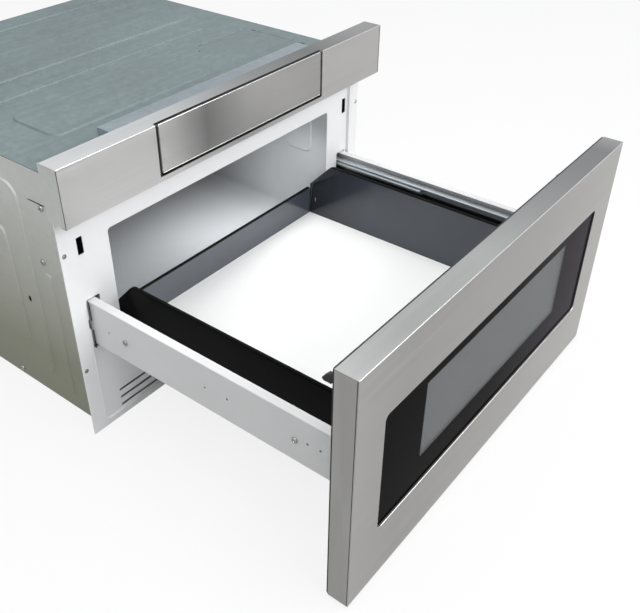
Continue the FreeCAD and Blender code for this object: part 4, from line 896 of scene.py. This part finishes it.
cabinet_screws = ((-0.219, 0.3225), (-0.1994, 0.2395), (-0.0875, 0.01), (0.12, 0.01), (0.245, 0.2))
rail_screws = ((-0.591, 0.1695), (-0.327, 0.1695))
row_of_screws("cabinet_screw_heads", radius=0.0042, height=0.0022, outer=body_half, places=cabinet_screws,
              node="cabinet_screws", body="cabinet")
row_of_screws("rail_screw_heads", radius=0.0041, height=0.002, outer=rail_outer, places=rail_screws,
              node="rail_screws", body="drawer")

# Rolled and pressed edges, the door gasket, and a black bead round the window that is painted shade.

polished = cut_metal("polished_fold", (0.86, 0.86, 0.85), (0.94, 0.94, 0.93), roughness=0.16, scale=700.0)
rubber = FINISHES["black_plastic"]
window_half = 0.2534
window_low = 0.0851
window_high = 0.2519
edge = 0.0006
gasket_inset = 0.0014
rolled_edge("window_rolled_edge", half=window_half, low=window_low, high=window_high, corner=0.008,
            level=door_low.y + edge, thickness=edge, body="drawer", finish=polished)
# Painted shade: a black bead round the window, for the shadow in the window's recess.
rolled_edge("window_edge_shade", half=window_half - gasket_inset, low=window_low + gasket_inset,
            high=window_high - gasket_inset, corner=0.0068, level=door_low.y + 0.0017, thickness=0.001,
            body="drawer", finish=rubber)
rolled_edge("panel_rolled_edge", half=panel_high.x - 0.0004, low=panel_low.z + 0.0004,
            high=panel_high.z - 0.0004, corner=0.0028, level=panel_low.y + 0.0004, thickness=edge,
            body="control_panel", finish=polished)
rolled_edge("door_gasket", half=door_high.x - gasket_inset, low=door_low.z + 0.0013,
            high=door_high.z - 0.001, corner=0.002, level=door_high.y + 0.0012, thickness=0.0012,
            body="drawer", finish=rubber)
rolled_edge("frame_pressed_edge", half=0.275, low=0.0095, high=0.1305, corner=0.006, level=frame_front,
            thickness=edge, body="cabinet", finish=FINISHES["white_enamel"],
            open_top=True)

# Seams, gaps and slot edges drawn as black beads of painted shade, and bright folds.

# Painted shade: a black bead in the seam at each front corner of the door.
door_corners = upright_pair(across=front_half - 0.0005, along=door_low.y + 0.00145, up=0.1674, length=0.324)
beads_for_shade_and_folds("door_corner_seam_shade", door_corners, radius=0.00047, body="drawer")
# Painted shade: a black bead at the front corner of each end of the fascia.
front_ends = upright_pair(across=front_half - 0.00042, along=fascia_low.y - 0.00002, up=0.3712, length=0.0718)
beads_for_shade_and_folds("fascia_end_shade_beads", front_ends, radius=0.0004, body="cabinet")
# Painted shade: a black bead in the gap at each side of the control panel.
panel_sides = upright_pair(across=panel_high.x + 0.0024, along=panel_low.y + 0.002, up=0.3742, length=0.063)
beads_for_shade_and_folds("panel_side_gap_shade", panel_sides, radius=0.0016, body="cabinet")
# Painted shade: black beads at the edges of the slots for the rails.
slot_gap_shades = [run for height in (0.1475, 0.1905)
              for run in upright_pair(across=0.2698, along=frame_front + 0.0003, up=height, length=0.028)]
beads_for_shade_and_folds("rail_slot_gap_shade", slot_gap_shades, radius=0.0007, body="cabinet")
# Painted shade: a black bead in the gap above the control panel.
panel_top = [("x", (0.0, panel_low.y + 0.0023, 0.4063), 0.308)]
beads_for_shade_and_folds("panel_top_gap_shade", panel_top, radius=0.0009, body="control_panel")
fascia_folds = [("x", (side * 0.2313, fascia_low.y + 0.0004, fascia_high.z - 0.0005), 0.143)
                for side in (-1, 1)]
beads_for_shade_and_folds("fascia_fold_edges", fascia_folds, radius=0.0005, body="cabinet",
              finish=polished)
door_top = [("x", (0.0, door_low.y + 0.0005, door_high.z - 0.0005), 0.604)]
beads_for_shade_and_folds("door_fold_edge", door_top, radius=0.0005, body="drawer", finish=polished)
cover_seal()
touch_keys()


# Floor, light and camera.


def pale_floor():
    """White paper: matt under the object, nearly white where the camera or glass looks at it, and mid grey in
    mirrors.
    """
    bpy.ops.object.select_all(action="DESELECT")
    bpy.ops.mesh.primitive_plane_add(size=14.0, location=(0.0, 0.0, -0.0005))
    floor = active()
    floor.name = "studio_floor"
    paper, tree, shader = new_finish("white_studio_paper")
    shader.inputs["Roughness"].default_value = 0.9
    fibre = grain(tree, stretched_coordinates(tree), 6.0)
    tree.links.new(graded(tree, fibre, [(0.3, (0.71, 0.71, 0.71)), (0.7, (0.74, 0.74, 0.74))]),
                   shader.inputs["Base Color"])
    path = tree.nodes.new("ShaderNodeLightPath")
    seen = larger(tree, path.outputs["Is Camera Ray"], path.outputs["Is Transmission Ray"])
    mirrored = path.outputs["Is Glossy Ray"]
    white_card = tree.nodes.new("ShaderNodeEmission")
    tree.links.new(blended(tree, mirrored, (1.0, 1.0, 1.0), (0.44, 0.44, 0.43)), white_card.inputs["Color"])
    halves = tree.nodes.new("ShaderNodeMixShader")
    tree.links.new(larger(tree, times(tree, seen, 0.84), times(tree, mirrored, 0.9)), halves.inputs["Fac"])
    tree.links.new(shader.outputs["BSDF"], halves.inputs[1])
    tree.links.new(white_card.outputs["Emission"], halves.inputs[2])
    tree.links.new(halves.outputs["Shader"], tree.nodes["Material Output"].inputs["Surface"])
    coat(floor, paper)


def pale_room():
    """A white background for the camera, a soft grey one for the light, and a shaded room for mirrors."""
    world = bpy.data.worlds.new("studio")
    bpy.context.scene.world = world
    world.use_nodes = True
    tree = world.node_tree
    surround = tree.nodes["Background"]
    surround.inputs["Strength"].default_value = 1.0
    path = tree.nodes.new("ShaderNodeLightPath")
    by_camera = path.outputs["Is Camera Ray"]
    by_surfaces = larger(tree, path.outputs["Is Glossy Ray"], path.outputs["Is Transmission Ray"])
    seen = larger(tree, by_camera, by_surfaces)
    direction = tree.nodes.new("ShaderNodeTexCoord").outputs["Generated"]
    beyond = rising(tree, split_axes(tree, direction)[1], -0.4, 0.7)
    wall = graded(tree, beyond, [(0.0, (0.95, 0.95, 0.95)), (1.0, (0.52, 0.56, 0.58))])
    shown = blended(tree, minus(tree, 1.0, by_camera), (1.0, 1.0, 1.0), wall)
    tree.links.new(blended(tree, seen, (0.42, 0.425, 0.43), shown), surround.inputs["Color"])


def soft_lamp(name, place, target, width, height, power):
    bpy.ops.object.light_add(type="AREA", location=place)
    lamp = active()
    lamp.name = name
    lamp.data.shape = "RECTANGLE"
    lamp.data.size = width
    lamp.data.size_y = height
    lamp.data.energy = power
    lamp.rotation_euler = (Vector(target) - Vector(place)).to_track_quat("-Z", "Y").to_euler()
    return lamp


def photo_camera():
    """The camera as solved from the photograph: its place, its three directions and its centre in pixels."""
    photo_width = 640
    photo_height = 613
    centre_x = 299.456
    centre_y = 296.429
    focal_pixels = 835.70
    right = Vector((0.62105656, -0.78376483, -0.00119763))
    down = Vector((-0.4575342, -0.36130935, -0.81247647))
    ahead = Vector((0.63635777, 0.5051418, -0.58299276))
    bpy.ops.object.camera_add(location=(-0.75834, -0.98679, 0.80876))
    camera = active()
    camera.name = "photo_camera"
    camera.rotation_euler = Matrix((right, -down, -ahead)).transposed().to_euler()
    camera.data.sensor_width = 36.0
    camera.data.lens = focal_pixels / photo_width * camera.data.sensor_width
    camera.data.shift_x = (photo_width / 2 - centre_x) / photo_width
    camera.data.shift_y = (centre_y - photo_height / 2) / photo_width
    camera.data.clip_start = 0.05
    bpy.context.scene.camera = camera


pale_floor()
pale_room()
soft_lamp("overhead_box", (-0.1, -0.6, 2.5), (0.0, -0.4, 0.2), width=2.2, height=2.0, power=52.0)
soft_lamp("front_box", (-0.3, -3.3, 2.1), (0.0, -0.3, 0.2), width=2.0, height=1.4, power=34.0)
soft_lamp("right_front_box", (1.7, -3.0, 2.0), (0.0, -0.4, 0.25), width=1.8, height=1.8, power=40.0)
opening_strip = soft_lamp("opening_strip", (0.1, -0.18, 0.28), (0.11, -0.17, 0.1),
                          width=0.2, height=0.05, power=0.16)
opening_strip.data.spread = math.radians(130)
photo_camera()
bpy.context.scene.view_settings.view_transform = "Standard"
